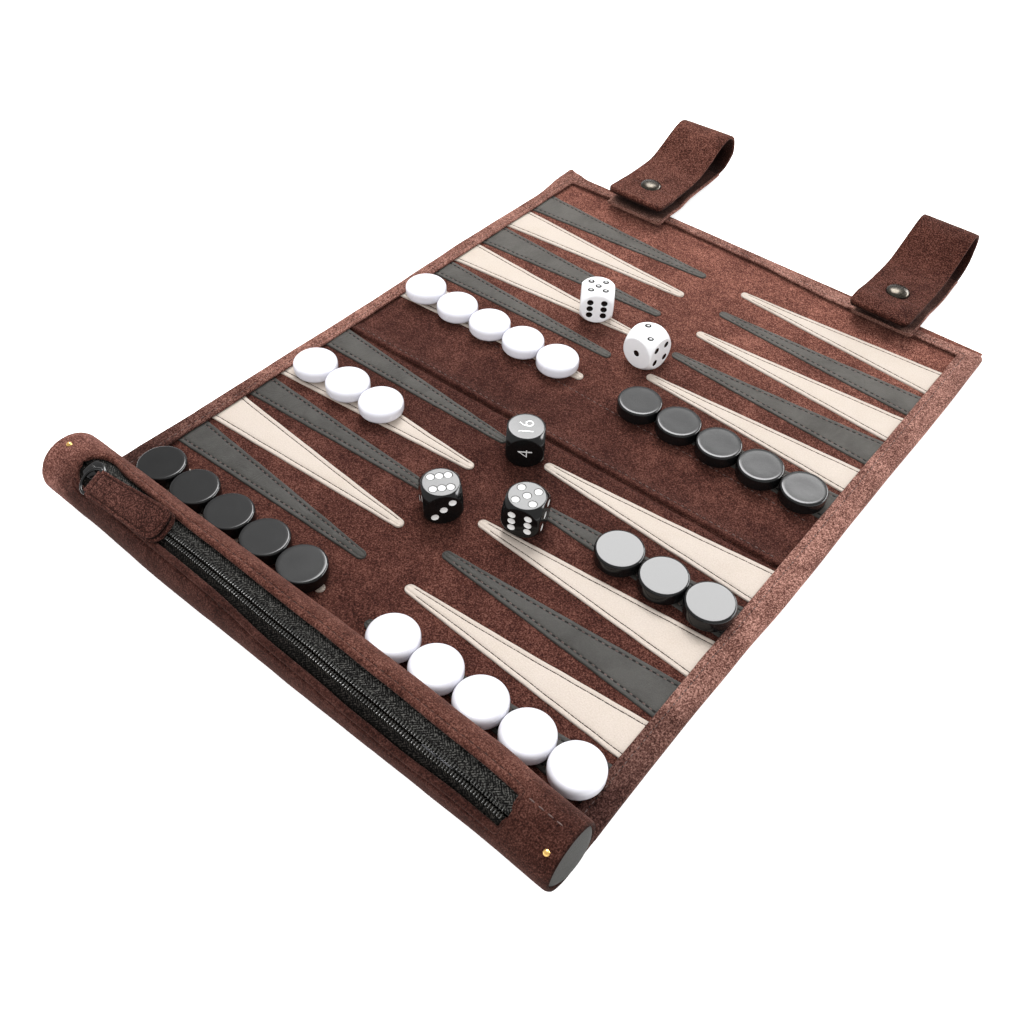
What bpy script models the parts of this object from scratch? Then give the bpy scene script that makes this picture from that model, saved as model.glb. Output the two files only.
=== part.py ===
"""Roll-up suede backgammon set: hemmed mat, zipped storage tube, strap loops, checkers and dice.

Frame: +X along the storage tube, +Y from the tube towards the straps, +Z up, metres.
The origin is on the flat underside of the mat, at the middle of its width and length.
"""
import math

import bmesh
import bpy
from mathutils import Matrix, Vector

MM = 0.001
GAP = 0.3 * MM

# mat
MAT_HALF_W = 109.5 * MM
HEM_INNER_X = 100.0 * MM
MAT_NEAR_Y = -141.3 * MM
MAT_FAR_Y = 141.0 * MM
HEM_INNER_Y = 129.5 * MM
MAT_THICK = 1.8 * MM
BACK_THICK = 0.8 * MM
HEM_UNDER_Z = 3.0 * MM
HEM_TOP_Z = 3.7 * MM
FIELD_Z0 = 1.1 * MM
FIELD_Z1 = 1.8 * MM
SEAM_Y = -23.6 * MM
SEAM_LAP = 2.3 * MM

# playing points: centres of the rows nearest the tube and nearest the bar, and their size
ROW_PITCH = 18.75 * MM
ROW12_Y = -126.8 * MM
ROW6_Y = 13.9 * MM
POINT_W = 16.2 * MM
POINT_TIP_X = 9.5 * MM
POINT_TIP_R = 2.0 * MM
POINT_Z0 = FIELD_Z1 + GAP
POINT_Z1 = POINT_Z0 + 0.6 * MM
STRIP_T = 0.15 * MM
CREAM_STRIP_X = (100.7 * MM, 102.7 * MM)
GREY_STRIP_X = (103.3 * MM, 105.3 * MM)

# checkers
CHECKER_R = 8.7 * MM
CHECKER_H = 5.5 * MM
CHECKER_BEVEL = 0.7 * MM
CHECKER_STEP = 17.75 * MM
CHECKER_Z = POINT_Z1 + GAP

# dice
DIE_EDGE = 14.0 * MM
DIE_BALL_R = 9.55 * MM
CUBE_EDGE = 14.2 * MM

# storage tube: its own frame has +X along the tube and the origin on its axis
TUBE_R = 11.5 * MM
TUBE_WALL = 1.6 * MM
TUBE_HALF = 110.5 * MM
TUBE_Y = -151.6 * MM
TUBE_Z = TUBE_R
TUBE_YAW = math.radians(-0.5)
PLUG_R = TUBE_R - TUBE_WALL - GAP
PLUG_LEN = 9.0 * MM

# zip: runs in a window that turns slowly round the tube
ZIP_X0 = -89.0 * MM
ZIP_X1 = 91.0 * MM
ZIP_ANG_MID = math.radians(18.6)
ZIP_ANG_SLOPE = math.radians(0.112) / MM
WINDOW_HALF = 5.3 * MM
NOTCH_R = 6.0 * MM
TAPE_R = (8.9 * MM, 9.5 * MM)
TAPE_LAT = (1.8 * MM, 6.6 * MM)
COIL_R = (9.1 * MM, 10.2 * MM)
COIL_HALF = 1.5 * MM

# slider and pull tab
SLIDER_X = -84.2 * MM
BAR_R = 13.1 * MM
WIRE_R = 0.55 * MM
TAB_LEN = 35.0 * MM
TAB_W = 11.0 * MM
TAB_T = 1.6 * MM
TAB_ROLL = math.radians(17.0)

# strap loops
STRAP_X = (-63.3 * MM, 65.4 * MM)
STRAP_NEAR_W = 30.5 * MM
STRAP_BEND_W = 27.0 * MM
STRAP_T = 1.4 * MM
STRAP_NEAR_Y = 127.2 * MM
SNAP_Y = 140.3 * MM
BEND_Y = 193.0 * MM


def clear_scene():
    for ob in list(bpy.data.objects):
        bpy.data.objects.remove(ob, do_unlink=True)


def collection(name):
    col = bpy.data.collections.new(name)
    bpy.context.scene.collection.children.link(col)
    return col


def material(name, colour, roughness, metallic=0.0):
    mat = bpy.data.materials.new(name)
    mat.use_nodes = True
    bsdf = mat.node_tree.nodes["Principled BSDF"]
    bsdf.inputs["Base Color"].default_value = (*colour, 1.0)
    bsdf.inputs["Roughness"].default_value = roughness
    bsdf.inputs["Metallic"].default_value = metallic
    return mat


def add_object(name, mesh, col, mat=None, smooth=False):
    ob = bpy.data.objects.new(name, mesh)
    col.objects.link(ob)
    if mat is not None:
        mesh.materials.append(mat)
    if smooth:
        mesh.shade_smooth()
        mesh.set_sharp_from_angle(angle=math.radians(35))
    return ob


def mesh_from(bm, name):
    bmesh.ops.recalc_face_normals(bm, faces=bm.faces)
    mesh = bpy.data.meshes.new(name)
    bm.to_mesh(mesh)
    bm.free()
    return mesh


def box_mesh(name, x, y, z):
    """A box from its lower and upper limits along each axis."""
    bm = bmesh.new()
    size = [b - a for a, b in (x, y, z)]
    mid = [(a + b) / 2 for a, b in (x, y, z)]
    bmesh.ops.create_cube(bm, size=1.0, matrix=Matrix.Translation(mid) @ Matrix.Diagonal((*size, 1.0)))
    return mesh_from(bm, name)


def cylinder_mesh(name, radius, depth, segments, matrix=None):
    bm = bmesh.new()
    bmesh.ops.create_cone(bm, cap_ends=True, segments=segments, radius1=radius, radius2=radius,
                          depth=depth, matrix=matrix or Matrix.Identity(4))
    return mesh_from(bm, name)


def sheet_mesh(name, outline, z0, z1):
    """A flat piece: the outline in X and Y, extruded from z0 to z1."""
    bm = bmesh.new()
    verts = [bm.verts.new((x, y, z0)) for x, y in outline]
    face = bm.faces.new(verts)
    ext = bmesh.ops.extrude_face_region(bm, geom=[face])
    top = [v for v in ext["geom"] if isinstance(v, bmesh.types.BMVert)]
    bmesh.ops.translate(bm, verts=top, vec=(0, 0, z1 - z0))
    return mesh_from(bm, name)


def boolean(ob, other, operation):
    mod = ob.modifiers.new(operation.lower() + "_" + other.name, "BOOLEAN")
    mod.operation = operation
    mod.object = other
    mod.solver = "EXACT"


def cutter(name, mesh, matrix=None):
    ob = add_object(name, mesh, CUTTERS)
    ob.hide_render = True
    ob.display_type = "WIRE"
    if matrix is not None:
        ob.matrix_world = matrix
    return ob


def bevel(ob, width, segments=1, angle=40):
    mod = ob.modifiers.new("edge_round", "BEVEL")
    mod.width = width
    mod.segments = segments
    mod.limit_method = "ANGLE"
    mod.angle_limit = math.radians(angle)


# ---------------------------------------------------------------- mat

def mat_backing():
    """Backing sheet whose three free edges fold up and over the field as hems."""
    ob = add_object("mat_backing", box_mesh("mat_backing", (-MAT_HALF_W, MAT_HALF_W),
                    (MAT_NEAR_Y, MAT_FAR_Y), (0.0, HEM_TOP_Z)), PARTS, SUEDE)
    bevel(ob, 0.5 * MM)
    over = 5.0 * MM
    boolean(ob, cutter("cut_field", box_mesh("cut_field", (-HEM_INNER_X, HEM_INNER_X),
            (MAT_NEAR_Y - over, HEM_INNER_Y), (BACK_THICK, HEM_TOP_Z + over))), "DIFFERENCE")
    boolean(ob, cutter("cut_fold", box_mesh("cut_fold",
            (-MAT_HALF_W + BACK_THICK, MAT_HALF_W - BACK_THICK),
            (MAT_NEAR_Y - over, MAT_FAR_Y - BACK_THICK), (BACK_THICK, HEM_UNDER_Z))), "DIFFERENCE")


def field_panels():
    """Two suede panels; the far one laps over the edge of the near one beside the bar."""
    edge = MAT_HALF_W - BACK_THICK - 0.5 * MM
    add_object("field_panel_near", box_mesh("field_panel_near", (-edge, edge),
               (MAT_NEAR_Y + 0.2 * MM, SEAM_Y + SEAM_LAP - GAP), (FIELD_Z0, FIELD_Z1)), PARTS, SUEDE)
    top = FIELD_Z1 + GAP + 0.7 * MM
    bevel_y = SEAM_Y + SEAM_LAP + 1.6 * MM
    far = MAT_FAR_Y - BACK_THICK - 0.5 * MM
    profile = [(SEAM_Y, FIELD_Z1 + GAP), (SEAM_Y + SEAM_LAP, FIELD_Z1 + GAP),
               (SEAM_Y + SEAM_LAP, FIELD_Z0), (far, FIELD_Z0), (far, FIELD_Z1),
               (bevel_y + 1.5 * MM, FIELD_Z1), (bevel_y, top), (SEAM_Y, top)]
    mesh = sheet_mesh("field_panel_far", profile, -edge, edge)
    # profile drawn as (Y, Z) and extruded along X
    mesh.transform(Matrix(((0, 0, 1, 0), (1, 0, 0, 0), (0, 1, 0, 0), (0, 0, 0, 1))))
    far_panel = add_object("field_panel_far", mesh, PARTS, SUEDE)
    for side in (-1, 1):
        tool = "cut_lap_%d" % (side + 2)
        boolean(far_panel, cutter(tool, box_mesh(tool, sorted((side * 100.2 * MM, side * 112 * MM)),
                (SEAM_Y - 2 * MM, bevel_y + 3 * MM), (FIELD_Z1, FIELD_Z1 + 3 * MM))), "DIFFERENCE")


def row_centre(row):
    if row >= 7:
        return ROW12_Y + (12 - row) * ROW_PITCH
    return ROW6_Y + (6 - row) * ROW_PITCH


def point_outline(side, row, base_x):
    """A long triangle with a round tip, its base at base_x."""
    cy = row_centre(row)
    half = POINT_W / 2
    pts = [(side * base_x, cy - half), (side * HEM_INNER_X, cy - half)]
    cx = POINT_TIP_X + POINT_TIP_R
    run = HEM_INNER_X - cx
    slope = math.atan2(half - POINT_TIP_R, run)
    for k in range(7):
        ang = -math.pi / 2 - slope - k * (math.pi - 2 * slope) / 6
        pts.append((side * (cx + POINT_TIP_R * math.cos(ang)), cy + POINT_TIP_R * math.sin(ang)))
    pts += [(side * HEM_INNER_X, cy + half), (side * base_x, cy + half)]
    return pts


def point_comb(name, side, rows, strip, low, mat):
    """The points of one colour on one side, joined by a thin strip under the hem."""
    z1 = POINT_Z1
    first = add_object(name, sheet_mesh(name, point_outline(side, rows[0], 100.3 * MM), POINT_Z0, z1),
                       PARTS, mat)
    for row in rows[1:]:
        tool = "%s_row_%d" % (name, row)
        boolean(first, cutter(tool, sheet_mesh(tool, point_outline(side, row, 100.3 * MM),
                POINT_Z0, z1)), "UNION")
    y0 = min(row_centre(r) for r in rows) - POINT_W / 2
    y1 = max(row_centre(r) for r in rows) + POINT_W / 2
    za, zb = (POINT_Z0, POINT_Z0 + STRIP_T) if low else (z1 - STRIP_T, z1)
    for row in rows:
        tool = "%s_tab_%d" % (name, row)
        cy = row_centre(row)
        boolean(first, cutter(tool, box_mesh(tool, sorted((side * 99.9 * MM, side * strip[1])),
                (cy - 5 * MM, cy + 5 * MM), (za, zb))), "UNION")
    tool = name + "_strip"
    boolean(first, cutter(tool, box_mesh(tool, sorted((side * strip[0], side * strip[1])),
            (y0 + 1 * MM, y1 - 1 * MM), (za, zb))), "UNION")


# ---------------------------------------------------------------- checkers and dice

def checker(name, mat, x, y, z, mesh):
    ob = bpy.data.objects.new(name, mesh)
    PARTS.objects.link(ob)
    ob.location = (x, y, z + CHECKER_H / 2)
    ob.material_slots[0].link = "OBJECT"
    ob.material_slots[0].material = mat
    bevel(ob, CHECKER_BEVEL)
    return ob


def checker_row(colour, start, mat, mesh, x0, row, dy, count):
    """Checkers lined up on one point from the hem inwards; a rim past the hem's edge lies on it."""
    for k in range(count):
        x = x0 - math.copysign(k * CHECKER_STEP, x0)
        z = HEM_TOP_Z + GAP if abs(x) + CHECKER_R > HEM_INNER_X else CHECKER_Z
        checker("checker_%s_%02d" % (colour, start + k), mat, x, row_centre(row) + dy, z, mesh)


def checkers():
    mesh = cylinder_mesh("checker", CHECKER_R, CHECKER_H, 20)
    mesh.materials.append(WHITE)
    mesh.shade_smooth()
    mesh.set_sharp_from_angle(angle=math.radians(35))
    checker_row("white", 1, WHITE, mesh, -92.0 * MM, 6, -2.2 * MM, 5)
    checker_row("white", 6, WHITE, mesh, -91.0 * MM, 8, -2.2 * MM, 3)
    checker_row("white", 9, WHITE, mesh, 93.8 * MM, 12, -3.2 * MM, 5)
    checker_row("black", 1, BLACK, mesh, -89.8 * MM, 12, -2.1 * MM, 5)
    checker_row("black", 6, BLACK, mesh, 90.1 * MM, 6, -2.5 * MM, 5)
    checker_row("black", 11, BLACK, mesh, 91.85 * MM, 8, -3.7 * MM, 3)
    # the last two of each colour lie in the tube, side by side along its axis
    normal = tube_normal(70.0 * MM)
    for k in range(4):
        colour, mat = (("white", WHITE), ("black", BLACK))[k // 2]
        ob = checker("checker_%s_%02d" % (colour, 14 + k % 2), mat, 0, 0, 0, mesh)
        x = 62.0 * MM + k * (CHECKER_H + GAP)
        place = Matrix.Translation(Vector((x, 0, 0)) - 0.55 * MM * normal)
        ob.matrix_world = TUBE @ place @ Matrix.Rotation(math.pi / 2, 4, "Y")


def die(name, edge, mat, x, y, z, yaw):
    """A cube whose corners and edges are turned off by a ball."""
    ob = add_object(name, box_mesh(name, (-edge / 2, edge / 2), (-edge / 2, edge / 2),
                    (-edge / 2, edge / 2)), PARTS, mat)
    bm = bmesh.new()
    bmesh.ops.create_uvsphere(bm, u_segments=18, v_segments=10, radius=DIE_BALL_R * edge / DIE_EDGE)
    ball = cutter(name + "_ball", mesh_from(bm, name + "_ball"))
    place = Matrix.Translation((x, y, z + edge / 2)) @ Matrix.Rotation(math.radians(yaw), 4, "Z")
    ob.matrix_world = place
    ball.matrix_world = place
    boolean(ob, ball, "INTERSECT")


def dice():
    on_points = POINT_Z1 + GAP
    die("die_white_1", DIE_EDGE, WHITE, -30.3 * MM, 51.1 * MM, on_points, 34.4)
    die("die_white_2", DIE_EDGE, WHITE, 2.8 * MM, 40.2 * MM, FIELD_Z1 + GAP, -5.0)
    die("die_black_1", DIE_EDGE, BLACK, -4.5 * MM, -77.2 * MM, FIELD_Z1 + GAP, 50.6)
    die("die_black_2", DIE_EDGE, BLACK, 22.4 * MM, -63.5 * MM, on_points, 19.0)
    die("doubling_cube", CUBE_EDGE, BLACK, 0.3 * MM, -36.0 * MM, FIELD_Z1 + GAP, 36.0)


# ---------------------------------------------------------------- tube and zip

def zip_angle(x):
    """Lean of the zip from straight up, towards the near side, at a place along the tube."""
    return ZIP_ANG_MID + ZIP_ANG_SLOPE * x


def tube_normal(x):
    ang = zip_angle(x)
    return Vector((0, -math.sin(ang), math.cos(ang)))


def zip_frame(x, radius, roll=0.0):
    """Frame on the zip's line, or rolled off it: X along the tube, Y across the zip, Z out of the tube."""
    return TUBE @ Matrix.Rotation(zip_angle(x) + roll, 4, "X") @ Matrix.Translation((x, 0, radius))


def strip_mesh(name, x_range, lat, radii, nx, na):
    """A strip that follows the zip's line round the tube: lat is the distance across the zip."""
    bm = bmesh.new()
    mid = (radii[0] + radii[1]) / 2
    bmesh.ops.create_grid(bm, x_segments=nx, y_segments=na, size=1.0)
    for v in bm.verts:
        x = x_range[0] + (v.co.x + 1) / 2 * (x_range[1] - x_range[0])
        across = lat[0] + (v.co.y + 1) / 2 * (lat[1] - lat[0])
        ang = zip_angle(x) - across / mid
        v.co = Vector((x, -radii[0] * math.sin(ang), radii[0] * math.cos(ang)))
    inner = list(bm.faces)
    ext = bmesh.ops.extrude_face_region(bm, geom=inner)
    for v in ext["geom"]:
        if isinstance(v, bmesh.types.BMVert):
            scale = radii[1] / radii[0]
            v.co.y *= scale
            v.co.z *= scale
    return mesh_from(bm, name)


def tube_cover():
    """Suede rolled into a tube, with the zip window and a tail that runs under the mat's edge."""
    along_x = Matrix.Rotation(math.pi / 2, 4, "Y")
    ob = add_object("tube_cover", cylinder_mesh("tube_cover", TUBE_R, 2 * TUBE_HALF, 40, along_x),
                    PARTS, SUEDE, smooth=True)
    ob.matrix_world = TUBE
    bevel(ob, 0.8 * MM)
    tail = cutter("tube_tail", sheet_mesh("tube_tail", [(-TUBE_HALF, 0.0), (TUBE_HALF, 0.0),
                  (TUBE_HALF, 10.4 * MM), (-TUBE_HALF, 8.5 * MM)], -TUBE_R + 0.02 * MM,
                  -TUBE_R + 0.82 * MM), TUBE)
    boolean(ob, tail, "UNION")
    bore = cutter("cut_bore", cylinder_mesh("cut_bore", TUBE_R - TUBE_WALL, 2.2 * TUBE_HALF, 40,
                  along_x), TUBE)
    boolean(ob, bore, "DIFFERENCE")
    window = cutter("cut_window", strip_mesh("cut_window", (ZIP_X0, ZIP_X1),
                    (-WINDOW_HALF, WINDOW_HALF), (7.0 * MM, 14.0 * MM), 14, 4), TUBE)
    boolean(ob, window, "DIFFERENCE")
    notch = cutter("cut_notch", cylinder_mesh("cut_notch", NOTCH_R, 8 * MM, 20),
                   zip_frame(ZIP_X0, TUBE_R))
    boolean(ob, notch, "DIFFERENCE")
    for side, ang in NAILS:
        hole = cutter("cut_nail_%d" % (side + 2), cylinder_mesh("cut_nail", 0.8 * MM, 8 * MM, 12),
                      nail_frame(side, ang))
        boolean(ob, hole, "DIFFERENCE")


def nail_frame(side, ang):
    return TUBE @ Matrix.Rotation(ang, 4, "X") @ Matrix.Translation((side * 105.3 * MM, 0, TUBE_R))


NAILS = ((-1, math.radians(3.0)), (1, math.radians(38.0)))


def end_plugs():
    for side, ang in NAILS:
        name = "end_plug_" + ("left" if side < 0 else "right")
        x = side * (TUBE_HALF - PLUG_LEN / 2)
        ob = add_object(name, cylinder_mesh(name, PLUG_R, PLUG_LEN, 32,
                        Matrix.Translation((x, 0, 0)) @ Matrix.Rotation(math.pi / 2, 4, "Y")),
                        PARTS, GREY, smooth=True)
        ob.matrix_world = TUBE
        bevel(ob, 0.5 * MM)
        hole = cutter(name + "_hole", cylinder_mesh(name + "_hole", 0.8 * MM, 12 * MM, 12),
                      nail_frame(side, ang))
        boolean(ob, hole, "DIFFERENCE")


def nails():
    """Round-headed brass nails that hold the suede to the end plugs."""
    for side, ang in NAILS:
        name = "brass_nail_" + ("left" if side < 0 else "right")
        profile = [(0.0, 1.05), (0.55, 0.95), (1.0, 0.7), (1.25, 0.3), (0.45, 0.3), (0.45, -4.5), (0.0, -5.0)]
        ob = turned(name, profile, 12, BRASS)
        ob.matrix_world = nail_frame(side, ang)


def turned(name, profile_mm, steps, mat):
    """A turned piece: the profile runs down its outer side from the top of the axis."""
    mesh = bpy.data.meshes.new(name)
    verts = [(r * MM, 0.0, z * MM) for r, z in profile_mm]
    mesh.from_pydata(verts, [(i, i + 1) for i in range(len(verts) - 1)], [])
    ob = add_object(name, mesh, PARTS, mat)
    mod = ob.modifiers.new("turn", "SCREW")
    mod.angle = math.tau
    mod.steps = steps
    mod.render_steps = steps
    mod.use_merge_vertices = True
    mod.merge_threshold = 0.00001
    mod.use_smooth_shade = False
    return ob


def zip_parts():
    for side, tag in ((-1, "far"), (1, "near")):
        lat = sorted((side * -TAPE_LAT[0], side * -TAPE_LAT[1]))
        name = "zip_tape_" + tag
        ob = add_object(name, strip_mesh(name, (ZIP_X0 - 6.5 * MM, ZIP_X1 + 4 * MM), lat, TAPE_R, 14, 3),
                        PARTS, TAPE)
        ob.matrix_world = TUBE
    ob = add_object("zip_coil", strip_mesh("zip_coil", (ZIP_X0 - 1 * MM, ZIP_X1 - GAP),
                    (-COIL_HALF, COIL_HALF), COIL_R, 14, 2), PARTS, COIL)
    ob.matrix_world = TUBE


def d_ring():
    """Wire pull loop: a straight bar on the tab's side and a round bow on the other."""
    curve = bpy.data.curves.new("slider_loop", "CURVE")
    curve.dimensions = "3D"
    curve.bevel_depth = WIRE_R
    curve.bevel_resolution = 1
    half = 4.4 * MM
    pts = [(0.0, -half + 1.0 * MM), (0.0, half - 1.0 * MM), (-0.5 * MM, half - 0.3 * MM)]
    for k in range(9):
        ang = math.pi / 2 + k * math.pi / 8
        pts.append((-2.6 * MM + 5.0 * MM * math.cos(ang), half * math.sin(ang)))
    pts.append((-0.5 * MM, -half + 0.3 * MM))
    spline = curve.splines.new("POLY")
    spline.points.add(len(pts) - 1)
    for p, (x, y) in zip(spline.points, pts):
        p.co = (x, y, 0, 1)
    spline.use_cyclic_u = True
    ob = bpy.data.objects.new("slider_loop_curve", curve)
    CUTTERS.objects.link(ob)
    mesh = bpy.data.meshes.new_from_object(ob.evaluated_get(bpy.context.evaluated_depsgraph_get()))
    bpy.data.objects.remove(ob)
    return mesh


def slider_and_tab():
    """Zip slider with its wire loop, and the suede tab whose end wraps the loop's bar.

    The loop hangs off the lug's near side, so it and the tab are rolled round the tube together.
    """
    place = zip_frame(SLIDER_X, BAR_R)
    rolled = zip_frame(SLIDER_X, BAR_R, TAB_ROLL)
    low = 10.75 * MM - BAR_R
    body = add_object("zip_slider", box_mesh("zip_slider", (-9.4 * MM, -1.9 * MM), (-3.3 * MM, 3.3 * MM),
                      (low, low + 0.95 * MM)), PARTS, GUNMETAL)
    body.matrix_world = place
    bevel(body, 0.3 * MM)
    lug = cutter("slider_lug", box_mesh("slider_lug", (-6.2 * MM, -3.8 * MM), (-1.1 * MM, 1.1 * MM),
                 (low + 0.5 * MM, 1.3 * MM)), place)
    boolean(body, lug, "UNION")
    loop = cutter("slider_loop", d_ring(), rolled)
    boolean(body, loop, "UNION")

    tab = add_object("pull_tab", box_mesh("pull_tab", (0.9 * MM, TAB_LEN), (-TAB_W / 2, TAB_W / 2),
                     (-TAB_T / 2, TAB_T / 2)), PARTS, SUEDE)
    tab.matrix_world = rolled
    bm = bmesh.new()
    bm.from_mesh(tab.data)
    corner = [e for e in bm.edges if abs(e.verts[0].co.x - TAB_LEN) < MM and abs(e.verts[1].co.x - TAB_LEN) < MM
              and abs(e.verts[0].co.z - e.verts[1].co.z) > MM]
    bmesh.ops.bevel(bm, geom=corner, offset=3.6 * MM, segments=4, profile=0.5, affect="EDGES")
    bm.to_mesh(tab.data)
    bm.free()
    across = Matrix.Rotation(math.pi / 2, 4, "X")
    boolean(tab, cutter("tab_sleeve", cylinder_mesh("tab_sleeve", 1.5 * MM, 6.0 * MM, 16, across),
            rolled), "UNION")
    boolean(tab, cutter("tab_bore", cylinder_mesh("tab_bore", 0.95 * MM, 12 * MM, 16, across),
            rolled), "DIFFERENCE")


# ---------------------------------------------------------------- straps

def smooth_path(points, per_span):
    """Points read along a smooth curve through the given ones."""
    out = []
    n = len(points)
    for i in range(n - 1):
        p0 = Vector(points[max(i - 1, 0)])
        p1 = Vector(points[i])
        p2 = Vector(points[i + 1])
        p3 = Vector(points[min(i + 2, n - 1)])
        for k in range(per_span):
            t = k / per_span
            out.append(0.5 * (2 * p1 + (p2 - p0) * t + (2 * p0 - 5 * p1 + 4 * p2 - p3) * t * t
                              + (3 * p1 - p0 - 3 * p2 + p3) * t ** 3))
    out.append(Vector(points[-1]))
    return out


def band_mesh(name, path, thick, y_shift):
    """A band of even thickness along a path in Y and Z, narrowing evenly from its near end to the bend."""
    left, right = [], []
    for i, p in enumerate(path):
        a = path[max(i - 1, 0)]
        b = path[min(i + 1, len(path) - 1)]
        d = (b - a).normalized()
        n = Vector((-d.y, d.x))
        left.append(p + n * thick / 2)
        right.append(p - n * thick / 2)
    outline = [(q.x, q.y) for q in left + right[::-1]]
    mesh = sheet_mesh(name, outline, -0.5, 0.5)
    mesh.transform(Matrix(((0, 0, 1, 0), (1, 0, 0, 0), (0, 1, 0, 0), (0, 0, 0, 1))))
    for vertex in mesh.vertices:
        run = (vertex.co.y + y_shift - STRAP_NEAR_Y) / (BEND_Y - STRAP_NEAR_Y)
        vertex.co.x *= STRAP_NEAR_W + (STRAP_BEND_W - STRAP_NEAR_W) * run
    return mesh


def strap(tag, x, low_z, tip_z):
    """A loop: the base is sewn on the hem and runs out, the flap comes back over it to the snap."""
    hinge = (BEND_Y, 14.5 * MM)
    base_z = HEM_TOP_Z + GAP + STRAP_T / 2
    base_pts = [(STRAP_NEAR_Y, base_z), (SNAP_Y, base_z), (SNAP_Y + 5 * MM, base_z - 0.1 * MM),
                (SNAP_Y + 17 * MM, low_z + 0.3 * MM), (SNAP_Y + 33 * MM, low_z),
                (BEND_Y - 7.0 * MM, low_z + 1.6 * MM), (BEND_Y - 2.2 * MM, low_z + 5.2 * MM),
                (BEND_Y - STRAP_T / 2, hinge[1])]
    base = add_object("strap_base_" + tag, band_mesh("strap_base_" + tag, smooth_path(base_pts, 2),
                      STRAP_T, 0.0), PARTS, SUEDE)
    base.location = (x, 0, 0)
    flap_z = 10.9 * MM
    flap_pts = [(BEND_Y - STRAP_T / 2, hinge[1] + GAP), (BEND_Y - 1.8 * MM, 20.3 * MM),
                (BEND_Y - 6.5 * MM, 23.6 * MM), (BEND_Y - 13.5 * MM, 22.6 * MM),
                (BEND_Y - 22.5 * MM, 17.0 * MM), (BEND_Y - 33.0 * MM, 12.6 * MM),
                (SNAP_Y + 6.0 * MM, flap_z + 0.2 * MM), (SNAP_Y, flap_z), (SNAP_Y - 6 * MM, flap_z + 0.1 * MM),
                (STRAP_NEAR_Y - 1.5 * MM, tip_z)]
    local = [(py - hinge[0], pz - hinge[1]) for py, pz in flap_pts]
    flap = add_object("strap_flap_" + tag, band_mesh("strap_flap_" + tag, smooth_path(local, 2),
                      STRAP_T, hinge[0]), PARTS, SUEDE)
    flap.location = (x, hinge[0], hinge[1])
    hole = cylinder_mesh("cut_snap", 1.7 * MM, 6 * MM, 12)
    boolean(flap, cutter("cut_flap_" + tag, hole, Matrix.Translation((x, SNAP_Y, flap_z))), "DIFFERENCE")
    boolean(base, cutter("cut_base_" + tag, hole.copy(), Matrix.Translation((x, SNAP_Y, base_z))),
            "DIFFERENCE")

    # socket half: domed cap above the flap, post through it, ring below
    top = flap_z + STRAP_T / 2 + GAP
    under = flap_z - STRAP_T / 2 - GAP
    mm_top = top / MM
    mm_under = under / MM
    socket = [(0.0, mm_top + 1.5), (2.4, mm_top + 1.3), (4.1, mm_top + 0.75), (5.0, mm_top + 0.1), (4.9, mm_top),
              (1.3, mm_top), (1.3, mm_under), (4.2, mm_under), (4.2, mm_under - 2.3), (2.3, mm_under - 2.3),
              (2.3, mm_under - 0.6), (0.0, mm_under - 0.6)]
    ob = turned("snap_cap_" + tag, socket, 20, NICKEL)
    ob.location = (x, SNAP_Y, 0)
    # stud half: flange on the base, ball up into the socket, shank down through the base
    floor = (base_z + STRAP_T / 2 + GAP) / MM
    stud = [(0.0, mm_under - 1.1), (1.4, mm_under - 1.3), (1.8, mm_under - 2.0), (1.5, floor + 0.7),
            (4.0, floor + 0.6), (4.2, floor), (1.2, floor), (1.2, floor - 1.5), (0.0, floor - 1.5)]
    ob = turned("snap_stud_" + tag, stud, 20, NICKEL)
    ob.location = (x, SNAP_Y, 0)


clear_scene()
PARTS = collection("backgammon_set")
CUTTERS = collection("cutters")
SUEDE = material("suede_brown", (0.10, 0.043, 0.034), 0.95)
CREAM = material("leather_cream", (0.80, 0.68, 0.54), 0.55)
GREY = material("leather_grey", (0.085, 0.085, 0.083), 0.6)
WHITE = material("plastic_white", (0.86, 0.86, 0.90), 0.25)
BLACK = material("plastic_black", (0.012, 0.012, 0.013), 0.25)
TAPE = material("zip_tape_black", (0.012, 0.013, 0.013), 0.9)
COIL = material("zip_coil_black", (0.015, 0.015, 0.015), 0.35)
GUNMETAL = material("slider_black", (0.02, 0.02, 0.02), 0.3, 0.6)
NICKEL = material("snap_nickel", (0.62, 0.60, 0.56), 0.3, 1.0)
BRASS = material("nail_brass", (0.80, 0.55, 0.22), 0.3, 1.0)
TUBE = Matrix.Translation((0, TUBE_Y, TUBE_Z)) @ Matrix.Rotation(TUBE_YAW, 4, "Z")

mat_backing()
field_panels()
point_comb("points_cream_left", -1, (12, 10, 8, 6, 4, 2), CREAM_STRIP_X, True, CREAM)
point_comb("points_grey_left", -1, (11, 9, 7, 5, 3, 1), GREY_STRIP_X, False, GREY)
point_comb("points_cream_right", 1, (11, 9, 7, 5, 3, 1), CREAM_STRIP_X, True, CREAM)
point_comb("points_grey_right", 1, (12, 10, 8, 6, 4, 2), GREY_STRIP_X, False, GREY)
checkers()
dice()
tube_cover()
end_plugs()
nails()
zip_parts()
slider_and_tab()
strap("left", STRAP_X[0], 6.0 * MM, 12.0 * MM)
strap("right", STRAP_X[1], 2.6 * MM, 10.6 * MM)
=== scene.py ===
"""Looks of the roll-up backgammon set: a suede mat with stitched leather points, a zipped tube,
two snap straps, checkers, dice and a doubling cube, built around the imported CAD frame."""
import math

import bmesh
import bpy
import numpy as np
from mathutils import Matrix, Vector, noise


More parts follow.
